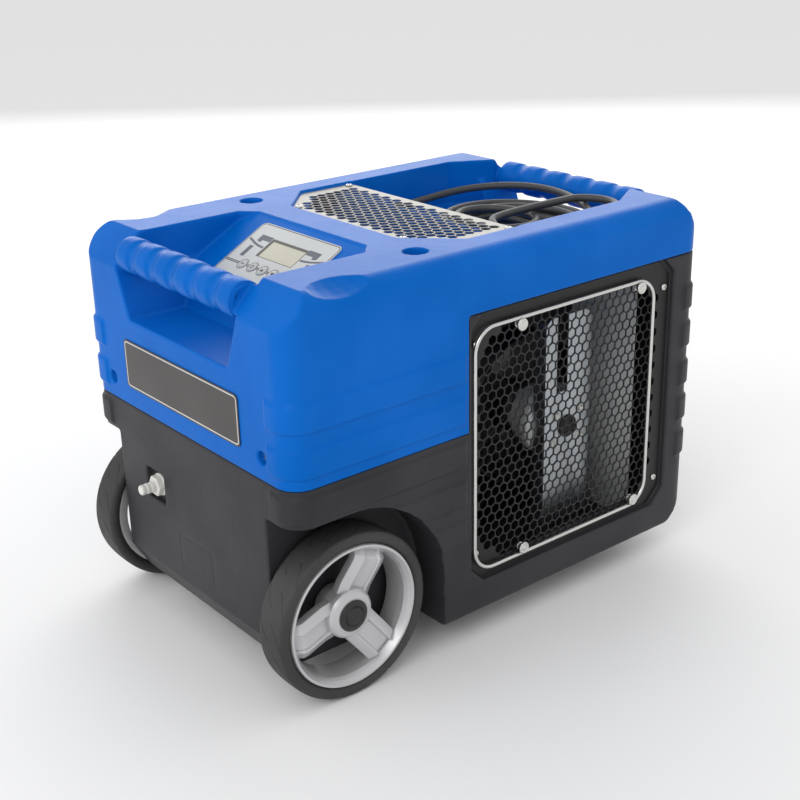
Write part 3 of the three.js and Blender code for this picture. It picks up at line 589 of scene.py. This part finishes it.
def add_cord():
    """The mains cord, its plug and its strain relief."""
    curve = bpy.data.curves.new("power_cord", "CURVE")
    curve.dimensions = "3D"
    curve.bevel_depth = CORD_RADIUS * MM
    curve.bevel_resolution = 5
    curve.resolution_u = 5
    route = cord_route()
    spline = curve.splines.new("NURBS")
    spline.points.add(len(route) - 1)
    for target, point in zip(spline.points, route):
        target.co = (*(Vector(point) * MM), 1)
    spline.order_u = 4
    spline.use_endpoint_u = True
    cord = add_object("power_cord", curve, JACKET)
    place(cord, "case", "cord_jacket", "cord_lead", "cord_coil", "cord_tail")
    plug = add_plug()
    gland = add_gland()


def add_plug():
    """The moulded plug, with its edges rounded."""
    plug = refined("plug", BLACK_PLASTIC, 1.1, "plug_moulded")
    return place(plug, "case", "black_moulding", "plug")


def add_gland():
    """The ribbed, tapered strain relief where the cord leaves the bay wall."""
    low, high = size_mm("cord_gland")
    profile = [(0, 0), (10, 0), (10, 5.5), (8.4, 6.5)]
    for rib in range(4):
        base = 8 + 4 * rib
        crest = 8.2 - 0.45 * rib
        groove = crest - 1.3
        profile.extend([(crest, base), (crest, base + 2.4), (groove, base + 2.6), (groove, base + 3.8)])
    profile.extend([(6.1, high.x - low.x), (0, high.x - low.x)])
    gland = lathe("cord_strain_relief", rounded(profile, 0.5, 2, closed=False), BLACK_PLASTIC, 40)
    gland.matrix_world = turn_to((1, 0, 0), (low.x, (low.y + high.y) / 2, (low.z + high.z) / 2))
    return place(gland, "case", "black_moulding", "cord_gland")


# ---------------------------------------------------------------- case
SHELLS = [("upper_shell", BLUE, "blue_shell"), ("lower_shell", GREY, "grey_shell")]
FINE_VOXEL = 0.0018
SMOOTHING_ROUNDS = 2


def add_shells():
    """Both case halves, with the soft edges of rotational moulding."""
    voxel = FINE_VOXEL
    for node, material, slot in SHELLS:
        shell = add_object(node + "_moulded", frame["nodes"][node].data.copy(), material)
        shell = voxel_skin(shell, voxel, SMOOTHING_ROUNDS)
        place(shell, "case", slot, node)


GRIP_CENTRES = {"wheel_end": (-293, 463), "cord_end": (313.3, 460)}
GRIP_HALF = 121
RING_COUNT = 6
RING_PITCH = 43.2
# Half a band's section: radius and distance from the band's middle.
RING_RISE = [(19.4, -13.5), (20.6, -12.4), (21.0, -11.6), (21.2, -6), (21.3, 0)]


def add_grips():
    """The ringed bars of both grips: six raised bands with crisp edges on a round bar."""
    profile = [(0, -GRIP_HALF), (18, -GRIP_HALF), (19.2, -GRIP_HALF + 1)]
    for ring in range(RING_COUNT):
        middle = (ring - (RING_COUNT - 1) / 2) * RING_PITCH
        profile += [(radius, middle + along) for radius, along in RING_RISE]
        profile += [(radius, middle - along) for radius, along in reversed(RING_RISE[:-1])]
    profile = [point for point in profile if abs(point[1]) <= GRIP_HALF]
    profile += [(19.2, GRIP_HALF - 1), (18, GRIP_HALF), (0, GRIP_HALF)]
    for name, (x, z) in GRIP_CENTRES.items():
        bar = lathe("grip_bar_" + name, profile, BLUE, 72, sharp_angle=50)
        bar.matrix_world = turn_to((0, 1, 0), (x, 0, z))
        place(bar, "case", "blue_shell")


# ---------------------------------------------------------------- screws
def cross_recess(head, size, depth, top):
    """Cuts a cross slot into the top of a head that stands on +Z."""
    shape = bmesh.new()
    for turn in (0, math.pi / 2):
        arm = bmesh.ops.create_cube(shape, size=1.0)["verts"]
        bmesh.ops.scale(shape, vec=mm(size, size * 0.24, 2 * depth), verts=arm)
        bmesh.ops.rotate(shape, matrix=Matrix.Rotation(turn, 3, "Z"), verts=arm)
        bmesh.ops.translate(shape, vec=mm(0, 0, top + turn * 0.001), verts=arm)
    cutter = add_object("cutter", mesh_of(shape), STEEL)
    cut = head.modifiers.new("cut", "BOOLEAN")
    cut.object = cutter
    cut.use_self = True
    result = baked(head, 35)
    bpy.data.objects.remove(cutter)
    return result


def pan_head(name, radius, height):
    """A cross-slotted pan head that stands on +Z."""
    profile = [(0, 0), (radius, 0), (radius, height * 0.35), (radius * 0.8, height * 0.85), (0, height)]
    head = lathe(name, rounded(profile, height * 0.3, 4, closed=False), STEEL, 32)
    return cross_recess(head, radius * 1.15, height * 0.55, height)


def hex_bolt(name, radius, height):
    """A flanged hexagon bolt head."""
    def flat(angle, reach, level):
        if level < height * 0.35:
            return 0
        sector = math.pi / 3
        return reach * (math.cos(sector / 2) / math.cos((angle % sector) - sector / 2) - 1)

    profile = [(0, 0), (radius, 0), (radius, height * 0.2), (radius * 0.72, height * 0.34)]
    profile += [(radius * 0.7, height * 0.36), (radius * 0.7, height * 0.9)]
    profile += [(radius * 0.62, height), (0, height)]
    return lathe(name, profile, STEEL, 72, ripple=flat)


def stand_on(node, head, axis, name):
    """A copy of a screw head where a CAD screw is, on the face that it bears on."""
    low, high = size_mm(node)
    axis = Vector(axis)
    centre = (low + high) / 2
    depth = (high - low).dot(Vector([abs(a) for a in axis])) / 2
    seat = centre - axis * (depth - 0.1)
    spin = slot_turn(node) * math.pi
    screw = copied(head, name, turn_to(axis, seat, spin))
    return place(screw, "case", "bright_steel", node)


def slot_turn(name):
    """A fixed turn between 0 and 1 for each screw, so that the slots don't all line up."""
    return (sum(ord(letter) * (k + 3) for k, letter in enumerate(name)) % 17) / 17


def add_screws():
    """The heads of all screws and deck bolts, each where its CAD screw is."""
    small = pan_head("small_screw", 4.5, 2.5)
    for k in range(1, 5):
        stand_on(f"grille_screw_{k}", small, (0, 0, 1), f"grille_screw_head_{k}")
    for level in ("low", "high"):
        for end in ("back", "front"):
            stand_on(f"panel_screw_{level}_{end}", small, (0, -1, 0), f"panel_screw_head_{level}_{end}")
    deep = pan_head("end_screw", 6, 3)
    bolt = hex_bolt("deck_bolt", 11, 5)
    for side in ("left", "right"):
        stand_on(f"end_screw_{side}", deep, (-1, 0, 0), f"end_screw_head_{side}")
        stand_on(f"deck_bolt_{side}", bolt, (0, 0, 1), f"deck_bolt_head_{side}")
    for source in (small, deep, bolt):
        bpy.data.objects.remove(source)


def add_thumb_nuts():
    """Knurled thumb nuts: a narrow shank under a wide head that clamps the wire."""
    profile = [(0, 0.1), (5, 0.1), (5, 1.2), (4, 1.6), (4, 6.6), (7.2, 7.2), (7.6, 7.8), (7.6, 9), (7, 9.8)]
    profile += [(5.6, 9.8), (5.1, 9.2), (3.0, 9.2), (2.6, 9.8), (0, 9.9)]

    def knurl(angle, radius, height):
        return 0.2 * math.cos(24 * angle) if radius > 7.1 and height < 9.6 else 0

    nut = lathe("thumb_nut", rounded(profile, 0.25, 2, closed=False), STEEL, 168, ripple=knurl)
    for k in range(1, 5):
        low, high = size_mm(f"thumb_nut_{k}")
        seat = ((low.x + high.x) / 2, high.y, (low.z + high.z) / 2)
        made = copied(nut, f"thumb_nut_knurled_{k}", turn_to((0, -1, 0), seat))
        place(made, "case", "bright_steel", f"thumb_nut_{k}")
    bpy.data.objects.remove(nut)


# ---------------------------------------------------------------- grilles
HEX_PITCH = 13.0
HEX_ROW = HEX_PITCH * math.sqrt(3) / 2
INLET_CORNER = 20
INLET_HOLE = 11.2
# The field of inlet holes: its margins from the sheet's edges, its width and the cut across its corners.
INLET_FIELD = {"side": 17, "bottom": 17, "top": 20, "width": 304, "diagonal": 268}
OUTLET = {"back_half": 104, "shoulder": -20, "edge": 20, "hole": 11.7, "back": 16, "front": 14, "rows": 12}
OUTLET_SCREWS = ((-66, 102), (51, 153))
SCREW_CLEARANCE = 11


def honeycomb(inside, x_range, y_range, across, radius):
    """Staggered hexagonal holes in rows along X wherever inside(x, y) says so."""
    reach = across / math.sqrt(3)
    holes = []
    for row in range(int((y_range[1] - y_range[0]) / HEX_ROW) + 1):
        y = y_range[0] + row * HEX_ROW
        x = x_range[0] + (HEX_PITCH / 2 if row % 2 else 0)
        while x <= x_range[1]:
            if inside(x, y):
                corners = [math.radians(30 + 60 * k) for k in range(6)]
                hexagon = [(x + reach * math.cos(a), y + reach * math.sin(a)) for a in corners]
                holes.append(rounded(hexagon, radius, 2))
            x += HEX_PITCH
    return holes


def cut_corners(low_x, high_x, low_y, high_y, corner):
    """A rectangle with its corners cut off at 45 degrees."""
    return [
        (low_x + corner, low_y), (high_x - corner, low_y), (high_x, low_y + corner),
        (high_x, high_y - corner), (high_x - corner, high_y), (low_x + corner, high_y),
        (low_x, high_y - corner), (low_x, low_y + corner),
    ]


def add_inlet_panel():
    """The black honeycomb sheet of the air inlet."""
    low, high = size_mm("inlet_panel")
    outline = cut_corners(low.x, high.x, low.z, high.z, INLET_CORNER)
    start = low.x + INLET_FIELD["side"]
    middle_x = start + INLET_FIELD["width"] / 2
    middle_z = (low.z + high.z) / 2

    def inside(x, z):
        return abs(x - middle_x) + abs(z - middle_z) < INLET_FIELD["diagonal"]

    x_range = (start, start + INLET_FIELD["width"])
    z_range = (low.z + INLET_FIELD["bottom"], high.z - INLET_FIELD["top"])
    holes = honeycomb(inside, x_range, z_range, INLET_HOLE, 1.4)
    panel = sheet_metal("inlet_honeycomb", rounded(outline, 3), holes, high.y - low.y, 0.12, BLACK_SHEET)
    panel.matrix_world = Matrix.Translation(mm(0, high.y, 0)) @ Matrix.Rotation(math.pi / 2, 4, "X")
    place(panel, "case", "black_sheet", "inlet_panel")


def add_retainer():
    """The bent wire that holds the inlet panel."""
    low, high = size_mm("wire_retainer")
    radius = (high.y - low.y) / 2
    middle = (low.y + high.y) / 2
    outline = rectangle(low.x + radius, high.x - radius, low.z + radius, high.z - radius)
    points = [(x, middle, z) for x, z in rounded(outline, 30, 12)]
    place(rod("retainer_rod", points, radius, STEEL, closed=True), "case", "bright_steel", "wire_retainer")


def add_outlet_grille():
    """The bright honeycomb sheet over the air outlet, which narrows towards the control panel."""
    low, high = size_mm("outlet_grille")
    half = high.y
    back_half = OUTLET["back_half"]
    shoulder = OUTLET["shoulder"]
    outline = [
        (low.x, back_half), (low.x, -back_half), (shoulder, -half),
        (high.x, -half), (high.x, half), (shoulder, half),
    ]
    slope = (half - back_half) / (shoulder - low.x)

    def inside(x, y):
        edge = min(half, back_half + slope * (x - low.x)) - OUTLET["edge"]
        distances = [math.hypot(x - screw_x, abs(y) - screw_y) for screw_x, screw_y in OUTLET_SCREWS]
        return abs(y) < edge and min(distances) > SCREW_CLEARANCE

    x_range = (low.x + OUTLET["back"], high.x - OUTLET["front"])
    y_range = (-HEX_ROW * OUTLET["rows"], HEX_ROW * OUTLET["rows"])
    holes = honeycomb(inside, x_range, y_range, OUTLET["hole"], 0.7)
    grille = sheet_metal("outlet_honeycomb", rounded(outline, 6), holes, high.z - low.z, 0.15, SHEET_STEEL)
    grille.matrix_world = Matrix.Translation(mm(0, 0, low.z))
    place(grille, "case", "bright_steel", "outlet_grille")


# ---------------------------------------------------------------- wheels
WHEEL_NAMES = {"right": -1, "left": 1}
RIM_RADIUS = 86.4
TREAD = {"grooves": 16, "inner": 3, "outer": 21, "lean": 0.004, "depth": 1.3, "half_width": 1.7}
TREAD_RADIUS = 100


def tread_depth(angle, along):
    """How deep the tyre is cut: slanted slashes from each shoulder, staggered from side to side."""
    side = 1 if along > 0 else -1
    reach = abs(along)
    if not TREAD["inner"] < reach < TREAD["outer"]:
        return 0
    lean = TREAD["lean"] * (reach - TREAD["inner"]) ** 1.5
    step = 2 * math.pi / TREAD["grooves"]
    stagger = step / 2 if side > 0 else 0
    offset = (angle - side * lean - stagger) % step
    distance = min(offset, step - offset) * TREAD_RADIUS
    return TREAD["depth"] * max(0.0, 1 - (distance / TREAD["half_width"]) ** 2)


def tyre_profile(low, high, outer, rim):
    """The tyre's section, from the rim over one shoulder to the rim again, as (radius, along)."""
    half = (high - low) / 2
    crown = []
    for k in range(33):
        along = -half + 2.2 + (2 * half - 4.4) * k / 32
        crown.append((outer - 0.9 * (along / half) ** 2 - 2.6 * abs(along / half) ** 12, along))
    side = [(rim + 0.2, half - 4), (rim + 3, half - 1.6), (outer - 10, half), (outer - 5, half - 0.4)]
    wall = [(radius, -along) for radius, along in side]
    return [*wall, *crown, *reversed(side)]


def add_tyre(name, side):
    """A solid rubber tyre with slashed shoulders."""
    low, high = size_mm(f"tyre_{name}")
    outer = (high.x - low.x) / 2
    middle = (low.y + high.y) / 2
    profile = tyre_profile(low.y, high.y, outer, RIM_RADIUS)

    def tread(angle, radius, along):
        return -tread_depth(angle, along) if radius > outer - 6 else 0

    segments = 720
    tyre = lathe("tyre_grooved_" + name, profile, TYRE, segments, closed=True, ripple=tread, sharp_angle=50)
    centre = ((low.x + high.x) / 2, middle, (low.z + high.z) / 2)
    tyre.matrix_world = turn_to((0, side, 0), centre)
    place(tyre, "wheel_" + name, "tyre_rubber", f"tyre_{name}")


SPOKE_ANGLE = 66
SPOKE_ROOT = 20
SPOKE_LENGTH = 65
SPOKE_TAPER = 0.04
# How far out each section of a spoke is, and how far it lies below the wheel's outer face.
SPOKE_STATIONS = [(18, 11.5), (33, 10.6), (64, 2.4), (69.5, 2.6), (74, 7), (79, 9)]
SPOKE_FLANGE = [(22.5, -5.5), (13.4, -0.5), (12.6, 0), (11.4, 0), (10.4, -0.6), (9.4, -4)]


def spoke_section():
    """The channel section of a spoke as (across, level), with its two ridges at level 0."""
    right = [(22, -16), *SPOKE_FLANGE]
    return right + [(-across, level) for across, level in reversed(right)]


def spoke_mesh():
    """One spoke along +X, its face towards +Z."""
    shape = bmesh.new()
    loops = []
    for reach, sunk in SPOKE_STATIONS:
        spread = 1 - SPOKE_TAPER * (reach - SPOKE_ROOT) / SPOKE_LENGTH
        section = [(across * spread, level - sunk) for across, level in spoke_section()]
        loops.append([shape.verts.new(mm(reach, across, level)) for across, level in section])
    for first, second in zip(loops, loops[1:]):
        for i in range(len(first)):
            j = (i + 1) % len(first)
            shape.faces.new((first[i], first[j], second[j], second[i]))
    shape.faces.new(loops[0])
    shape.faces.new(loops[-1])
    return mesh_of(shape)


RIM_HOOP = [
    (RIM_RADIUS, -3.4), (RIM_RADIUS, -39), (74.4, -39), (74.6, -30), (75.6, -18), (77.2, -10),
    (79.6, -5.4), (81.6, -2.6), (82.8, -0.7), (85.6, -0.5),
]
RIM_HUB = [
    (8.4, -5), (21, -5), (21.8, -5.6), (26.4, -6.8), (29.4, -10), (30, -14), (29, -30),
    (24, -46), (8.4, -46),
]


def add_rim(name, side):
    """The rim casting: a deep hoop, a domed hub and three spokes."""
    parts = [
        lathe("hoop", rounded(RIM_HOOP, 1.0, 3), RIM, 160, closed=True),
        lathe("hub", rounded(RIM_HUB, 1.0, 3), RIM, 96, closed=True),
    ]
    for k in range(3):
        spoke = bevelled(add_object("spoke", spoke_mesh(), RIM), 0.5)
        spoke.matrix_world = Matrix.Rotation(math.radians(SPOKE_ANGLE + 120 * k), 4, "Z")
        parts.append(spoke)
    rim = joined("rim_cast_" + name, parts)
    low, high = size_mm(f"tyre_{name}")
    face = low.y if side < 0 else high.y
    centre = ((low.x + high.x) / 2, face, (low.z + high.z) / 2)
    rim.matrix_world = turn_to((0, side, 0), centre)
    place(rim, "wheel_" + name, "silver_rim", f"rim_{name}")


def add_hub_cap(name, side):
    """The black push-on cap, stepped, with a dished middle."""
    profile = [(0, 0), (18.6, 0), (19, 0.5), (19, 1.2), (17.4, 2.5), (13.4, 3.0), (12.6, 2.9), (12, 2.0)]
    profile += [(11.2, 2.0), (10.6, 3.3), (9.2, 3.9), (0, 4.0)]
    cap = lathe("hub_cap_stepped_" + name, rounded(profile, 0.4, 2, closed=False), BLACK_PLASTIC, 64)
    low, high = size_mm(f"hub_cap_{name}")
    seat = high.y if side < 0 else low.y
    centre = ((low.x + high.x) / 2, seat, (low.z + high.z) / 2)
    cap.matrix_world = turn_to((0, side, 0), centre)
    place(cap, "wheel_" + name, "black_plastic", f"hub_cap_{name}")


def add_wheels():
    """Tyre, rim and hub cap of each wheel, on the wheel's own body."""
    for name, side in WHEEL_NAMES.items():
        add_tyre(name, side)
        add_rim(name, side)
        add_hub_cap(name, side)


# ---------------------------------------------------------------- control panel
# Its own plane: x runs down the slope towards the grip, y towards the inlet side and z out of the panel.
SLOPE = math.atan(38 / 70)
PANEL_ORIGIN = (-132, 0, 479.1)
PANEL_THICKNESS = 1.2
PANEL_HALF = 79
PANEL_LENGTH = 91
BUTTON_ROW = 68
BUTTON_PITCH = 20.3
BUTTON_RADIUS = 6.2
BORDER_INSET = 1.4
RING_RADIUS = 8.3
LINK_SHIFT = 1.1


def panel_matrix(z=0.0):
    """The panel's own plane, raised by z millimetres."""
    down = Vector((-math.cos(SLOPE), 0, -math.sin(SLOPE)))
    out = Vector((-math.sin(SLOPE), 0, math.cos(SLOPE)))
    matrix = Matrix((down, Vector((0, -1, 0)), out)).transposed().to_4x4()
    return Matrix.Translation(mm(*PANEL_ORIGIN) + out * z * MM) @ matrix


def circle(x, y, radius, count=40):
    """A circle as an outline."""
    turns = [2 * math.pi * k / count for k in range(count)]
    return [(x + radius * math.cos(a), y + radius * math.sin(a)) for a in turns]


def on_panel(obj, z, slot, *nodes):
    """Lays a flat piece on the panel, z millimetres above its plane."""
    obj.matrix_world = panel_matrix(z)
    return place(obj, "case", slot, *nodes)


def stroke(points, width):
    """A closed outline of a given width round a line of points."""
    line = [Vector(point) for point in points]
    left = []
    right = []
    for k, point in enumerate(line):
        before = line[max(k - 1, 0)]
        after = line[min(k + 1, len(line) - 1)]
        along = (after - before).normalized()
        normal = Vector((-along.y, along.x)) * width / 2
        left.append(point + normal)
        right.append(point - normal)
    return left + right[::-1]


def add_print(name, outline, holes=(), ink=None):
    """A printed shape on the overlay, a tenth of a millimetre proud of it."""
    mark = sheet_metal(name, outline, holes, 0.12, 0.02, ink or INK)
    on_panel(mark, PANEL_THICKNESS - 0.02, "panel_overlay")


def panel_outline(inset):
    """The overlay's rounded outline, drawn in by an inset."""
    sides = rectangle(inset, PANEL_LENGTH - inset, -PANEL_HALF + inset, PANEL_HALF - inset)
    return rounded(sides, 8 - inset, 8)


def add_panel_print():
    """The border, the brackets round the display and the rings and links of the keys."""
    bracket = [(18.8, 59.5), (18.8, 36.4), (26.8, 36.4), (26.8, 50.5), (31, 52), (29.2, 59.5)]
    bow = [(29.3, 74.2), (31.6, 66), (34.2, 58), (35.8, 50), (36.6, 44), (36.9, 37.5)]
    for side in (-1, 1):
        name = "inlet" if side > 0 else "far"
        mirrored = [(x, side * y) for x, y in bracket]
        add_print("print_bracket_" + name, mirrored if side > 0 else mirrored[::-1])
        add_print("print_bow_" + name, stroke([(x, side * y) for x, y in bow], 3.0))
        bar = stroke([(39, side * 57.8), (57.6, side * 57.8)], 7.4)
        add_print("print_bar_" + name, rounded(bar, 0.4, 2))
    inner_border = panel_outline(BORDER_INSET + 1.0)
    add_print("print_border", panel_outline(BORDER_INSET), [inner_border], DARK_INK)
    for k in range(-2, 3):
        y = k * BUTTON_PITCH
        hole = circle(BUTTON_ROW, y, RING_RADIUS - 0.7)
        add_print(f"print_ring_{k + 3}", circle(BUTTON_ROW, y, RING_RADIUS), [hole], DARK_INK)
    for k in range(-3, 3):
        add_links(k)


def add_links(k):
    """The pair of thin lines between one key's ring and the next, or the overlay's edge."""
    start = k * BUTTON_PITCH + RING_RADIUS if k > -3 else -PANEL_HALF + 2.6
    end = (k + 1) * BUTTON_PITCH - RING_RADIUS if k < 2 else PANEL_HALF - 2.6
    for row, shift in (("up", -LINK_SHIFT), ("down", LINK_SHIFT)):
        line = stroke([(BUTTON_ROW + shift, start), (BUTTON_ROW + shift, end)], 1.1)
        add_print(f"print_link_{k + 4}_{row}", line, (), DARK_INK)


def add_controls():
    """The overlay with its display and print, and the five keys."""
    window = rounded(rectangle(20, 51, -36, 36), 1.2)
    holes = [circle(BUTTON_ROW, k * BUTTON_PITCH, BUTTON_RADIUS + 0.3) for k in range(-2, 3)]
    outline = panel_outline(0)
    overlay = sheet_metal("control_overlay", outline, [window, *holes], PANEL_THICKNESS, 0.2, OVERLAY)
    on_panel(overlay, 0, "panel_overlay", "control_panel")
    glass_outline = rounded(rectangle(20.3, 50.7, -35.7, 35.7), 1)
    glass = sheet_metal("display_glass", glass_outline, [], 0.4, 0.08, DISPLAY)
    on_panel(glass, 0.1, "display_window", "display_lens")
    # A dark frame round the glass, widest along its top and far side: painted shadow of the window's
    # recessed edge, not a real bezel.
    lit = rounded(rectangle(23.6, 49.8, -31.5, 34), 0.8)
    painted_shadow_outline = rounded(rectangle(20.4, 50.6, -35.6, 35.6), 1)
    painted_shadow = sheet_metal("display_painted_shadow", painted_shadow_outline, [lit], 0.3, 0.08, DISPLAY_PAINTED_SHADOW)
    on_panel(painted_shadow, 0.45, "display_window")
    add_panel_print()
    dome = [(0, 0), (6.0, 0), (6.2, 0.15), (6.2, 0.55), (5.9, 0.8), (4, 1.0), (0, 1.1)]
    for k in range(1, 6):
        key = lathe(f"key_{k}", rounded(dome, 0.15, 2, closed=False), KEY, 48)
        y = (k - 3) * BUTTON_PITCH
        key.matrix_world = panel_matrix(1.1) @ Matrix.Translation(mm(BUTTON_ROW, y, 0))
        place(key, f"button_{k}", "grey_button", f"button_{k}")
        add_key_mark(k, y)


def add_key_mark(k, y):
    """A generic sign on each key: a bar, a ring, arrows up and down, and a dot."""
    signs = {
        1: [rounded(rectangle(-0.7, 0.7, -2.6, 2.6), 0.3, 2)],
        2: [circle(0, 0, 2.8), circle(0, 0, 2.0)],
        3: [[(-2.6, 0), (1.8, 3.0), (1.8, -3.0)]],
        4: [[(2.6, 0), (-1.8, -3.0), (-1.8, 3.0)]],
        5: [circle(0, 0, 1.6)],
    }
    outline, *holes = signs[k]
    mark = sheet_metal(f"key_sign_{k}", outline, holes, 0.12, 0.02, DARK_INK)
    mark.matrix_world = panel_matrix(2.16) @ Matrix.Translation(mm(BUTTON_ROW, y, 0))
    place(mark, f"button_{k}", "grey_button")


# ---------------------------------------------------------------- name plate and drain
def add_name_plate():
    """A blank dark plate with a pale line round it."""
    low, high = size_mm("name_plate")
    upright = Matrix.Rotation(-math.pi / 2, 4, "Z") @ Matrix.Rotation(math.pi / 2, 4, "X")
    face = Matrix.Translation(mm(high.x, 0, 0)) @ upright
    outline = [(-y, z) for y, z in rectangle(low.y, high.y, low.z, high.z)][::-1]
    plate = sheet_metal("blank_name_plate", rounded(outline, 6), [], 1.0, 0.15, PLATE)
    plate.matrix_world = face
    place(plate, "case", "name_plate", "name_plate")
    outer = rectangle(low.y + 2, high.y - 2, low.z + 2, high.z - 2)
    inner = rectangle(low.y + 3.5, high.y - 3.5, low.z + 3.5, high.z - 3.5)
    hole = rounded(inner, 3.6)
    border = sheet_metal("name_plate_border", rounded(outer, 5), [hole], 0.14, 0.03, PLATE_BORDER)
    border.matrix_world = Matrix.Translation(mm(-0.96, 0, 0)) @ face
    place(border, "case", "name_plate")


def add_drain():
    """The drain fitting: a barbed white tail with a hexagon nut turned on it, all in one white plastic
    piece, in its pocket.
    """
    low, high = size_mm("drain_fitting")
    length = high.x - low.x
    profile = [(0, 0), (5.2, 0), (6.2, 1.2), (6.6, 4.4), (5.4, 5.0), (5.4, 6.2), (6.4, 7.2)]
    profile += [(6.9, 10.4), (5.6, 11), (5.6, 12.2), (6.6, 13.2), (7.2, 16.4), (5.4, 17), (5.4, 19)]
    profile += [(12.6, 19), (13, 19.6), (13, 26), (14.3, 27), (14.3, 31), (8.6, 31.4)]
    profile += [(8.6, length), (0, length)]

    def nut(angle, radius, height):
        if 18.9 < height < 26.5 and radius > 12:
            sector = math.pi / 3
            return radius * (math.cos(sector / 2) / math.cos((angle % sector) - sector / 2) - 1) * 0.9
        return 0

    fitting = lathe("drain_barb", rounded(profile, 0.35, 2, closed=False), WHITE_PLASTIC, 96, ripple=nut)
    fitting.matrix_world = turn_to((1, 0, 0), (low.x, (low.y + high.y) / 2, (low.z + high.z) / 2))
    place(fitting, "case", "white_plastic", "drain_fitting")


# ---------------------------------------------------------------- inner parts
# Each node's material, the width of its rounded edges in millimetres and its slot.
INSIDE = {
    "motor_strut": (ZINC, 0.8, "zinc_steel"),
    # The baffle's near-white colour is painted highlight along its edge.
    "duct_baffle": (GALVANISED_PAINTED_HIGHLIGHT, 0.3, "zinc_steel"),
    "fan_motor": (CASTING, 1.2, "zinc_steel"),
    "control_box": (ZINC, 1.5, "zinc_steel"),
    "fan_bulkhead": (BLACK_PLASTIC, 0.8, "black_plastic"),
    "condensate_tray": (BLACK_PLASTIC, 0.6, "black_plastic"),
    "condensate_sump": (WHITE_PLASTIC, 0.6, "white_plastic"),
    "condensate_pump": (BLACK_PLASTIC, 1.2, "black_plastic"),
    "compressor": (ENAMEL, 1.5, "black_enamel"),
    "axle": (ZINC, 0.8, "zinc_steel"),
    "foot_left": (FOOT, 1.5, "foot_rubber"),
    "foot_right": (FOOT, 1.5, "foot_rubber"),
}
MOTOR_BOLT_ACROSS = 21.25
MOTOR_BOLT_UP = 19
BITE = 0.05  # how far a bolt or cover sinks into the strut, in millimetres


def add_inside():
    """The inner parts with their edges rounded, and the bolts of the motor."""
    for node, (material, width, slot) in INSIDE.items():
        place(refined(node, material, width), "case", slot, node)
    add_motor_bolts()


def add_motor_bolts():
    """Four bolts through the strut into the motor, and the cover over its shaft end."""
    low, high = size_mm("fan_motor")
    centre = (low + high) / 2
    face, _ = size_mm("motor_strut")
    bolt = hex_bolt("motor_bolt", 5.5, 4.5)
    for k in range(4):
        across = MOTOR_BOLT_ACROSS if k % 2 else -MOTOR_BOLT_ACROSS
        up = MOTOR_BOLT_UP if k > 1 else -MOTOR_BOLT_UP
        seat = (centre.x + across, face.y - BITE, centre.z + up)
        made = copied(bolt, f"motor_bolt_{k + 1}", turn_to((0, -1, 0), seat, k))
        place(made, "case", "zinc_steel")
    bpy.data.objects.remove(bolt)
    ring = [(0, 0), (15, 0), (15, 2), (11, 3.4), (9, 3.4), (8, 2), (0, 2)]
    cover = lathe("motor_shaft_cover", rounded(ring, 0.6, 2, closed=False), BLACK_SHEET, 48)
    cover.matrix_world = turn_to((0, -1, 0), (centre.x, face.y - BITE, centre.z))
    place(cover, "case", "zinc_steel")


NODE_FINISH = {
    "black_plastic": BLACK_PLASTIC,
    "coil_fins": FINS,
    "copper": COPPER,
    "white_plastic": WHITE_PLASTIC,
}


def finish_cad_nodes():
    """Gives each CAD node that stays in view the material of its slot."""
    for part in frame["record"]["subparts"]:
        material = NODE_FINISH.get(part["material_slot"])
        if material:
            node = frame["nodes"][part["node"]]
            node.data.materials.clear()
            node.data.materials.append(material)


add_camera()
add_cord()
add_studio()
finish_cad_nodes()
add_shells()
add_grips()
add_screws()
add_thumb_nuts()
add_inlet_panel()
add_retainer()
add_outlet_grille()
add_wheels()
add_controls()
add_name_plate()
add_drain()
add_inside()
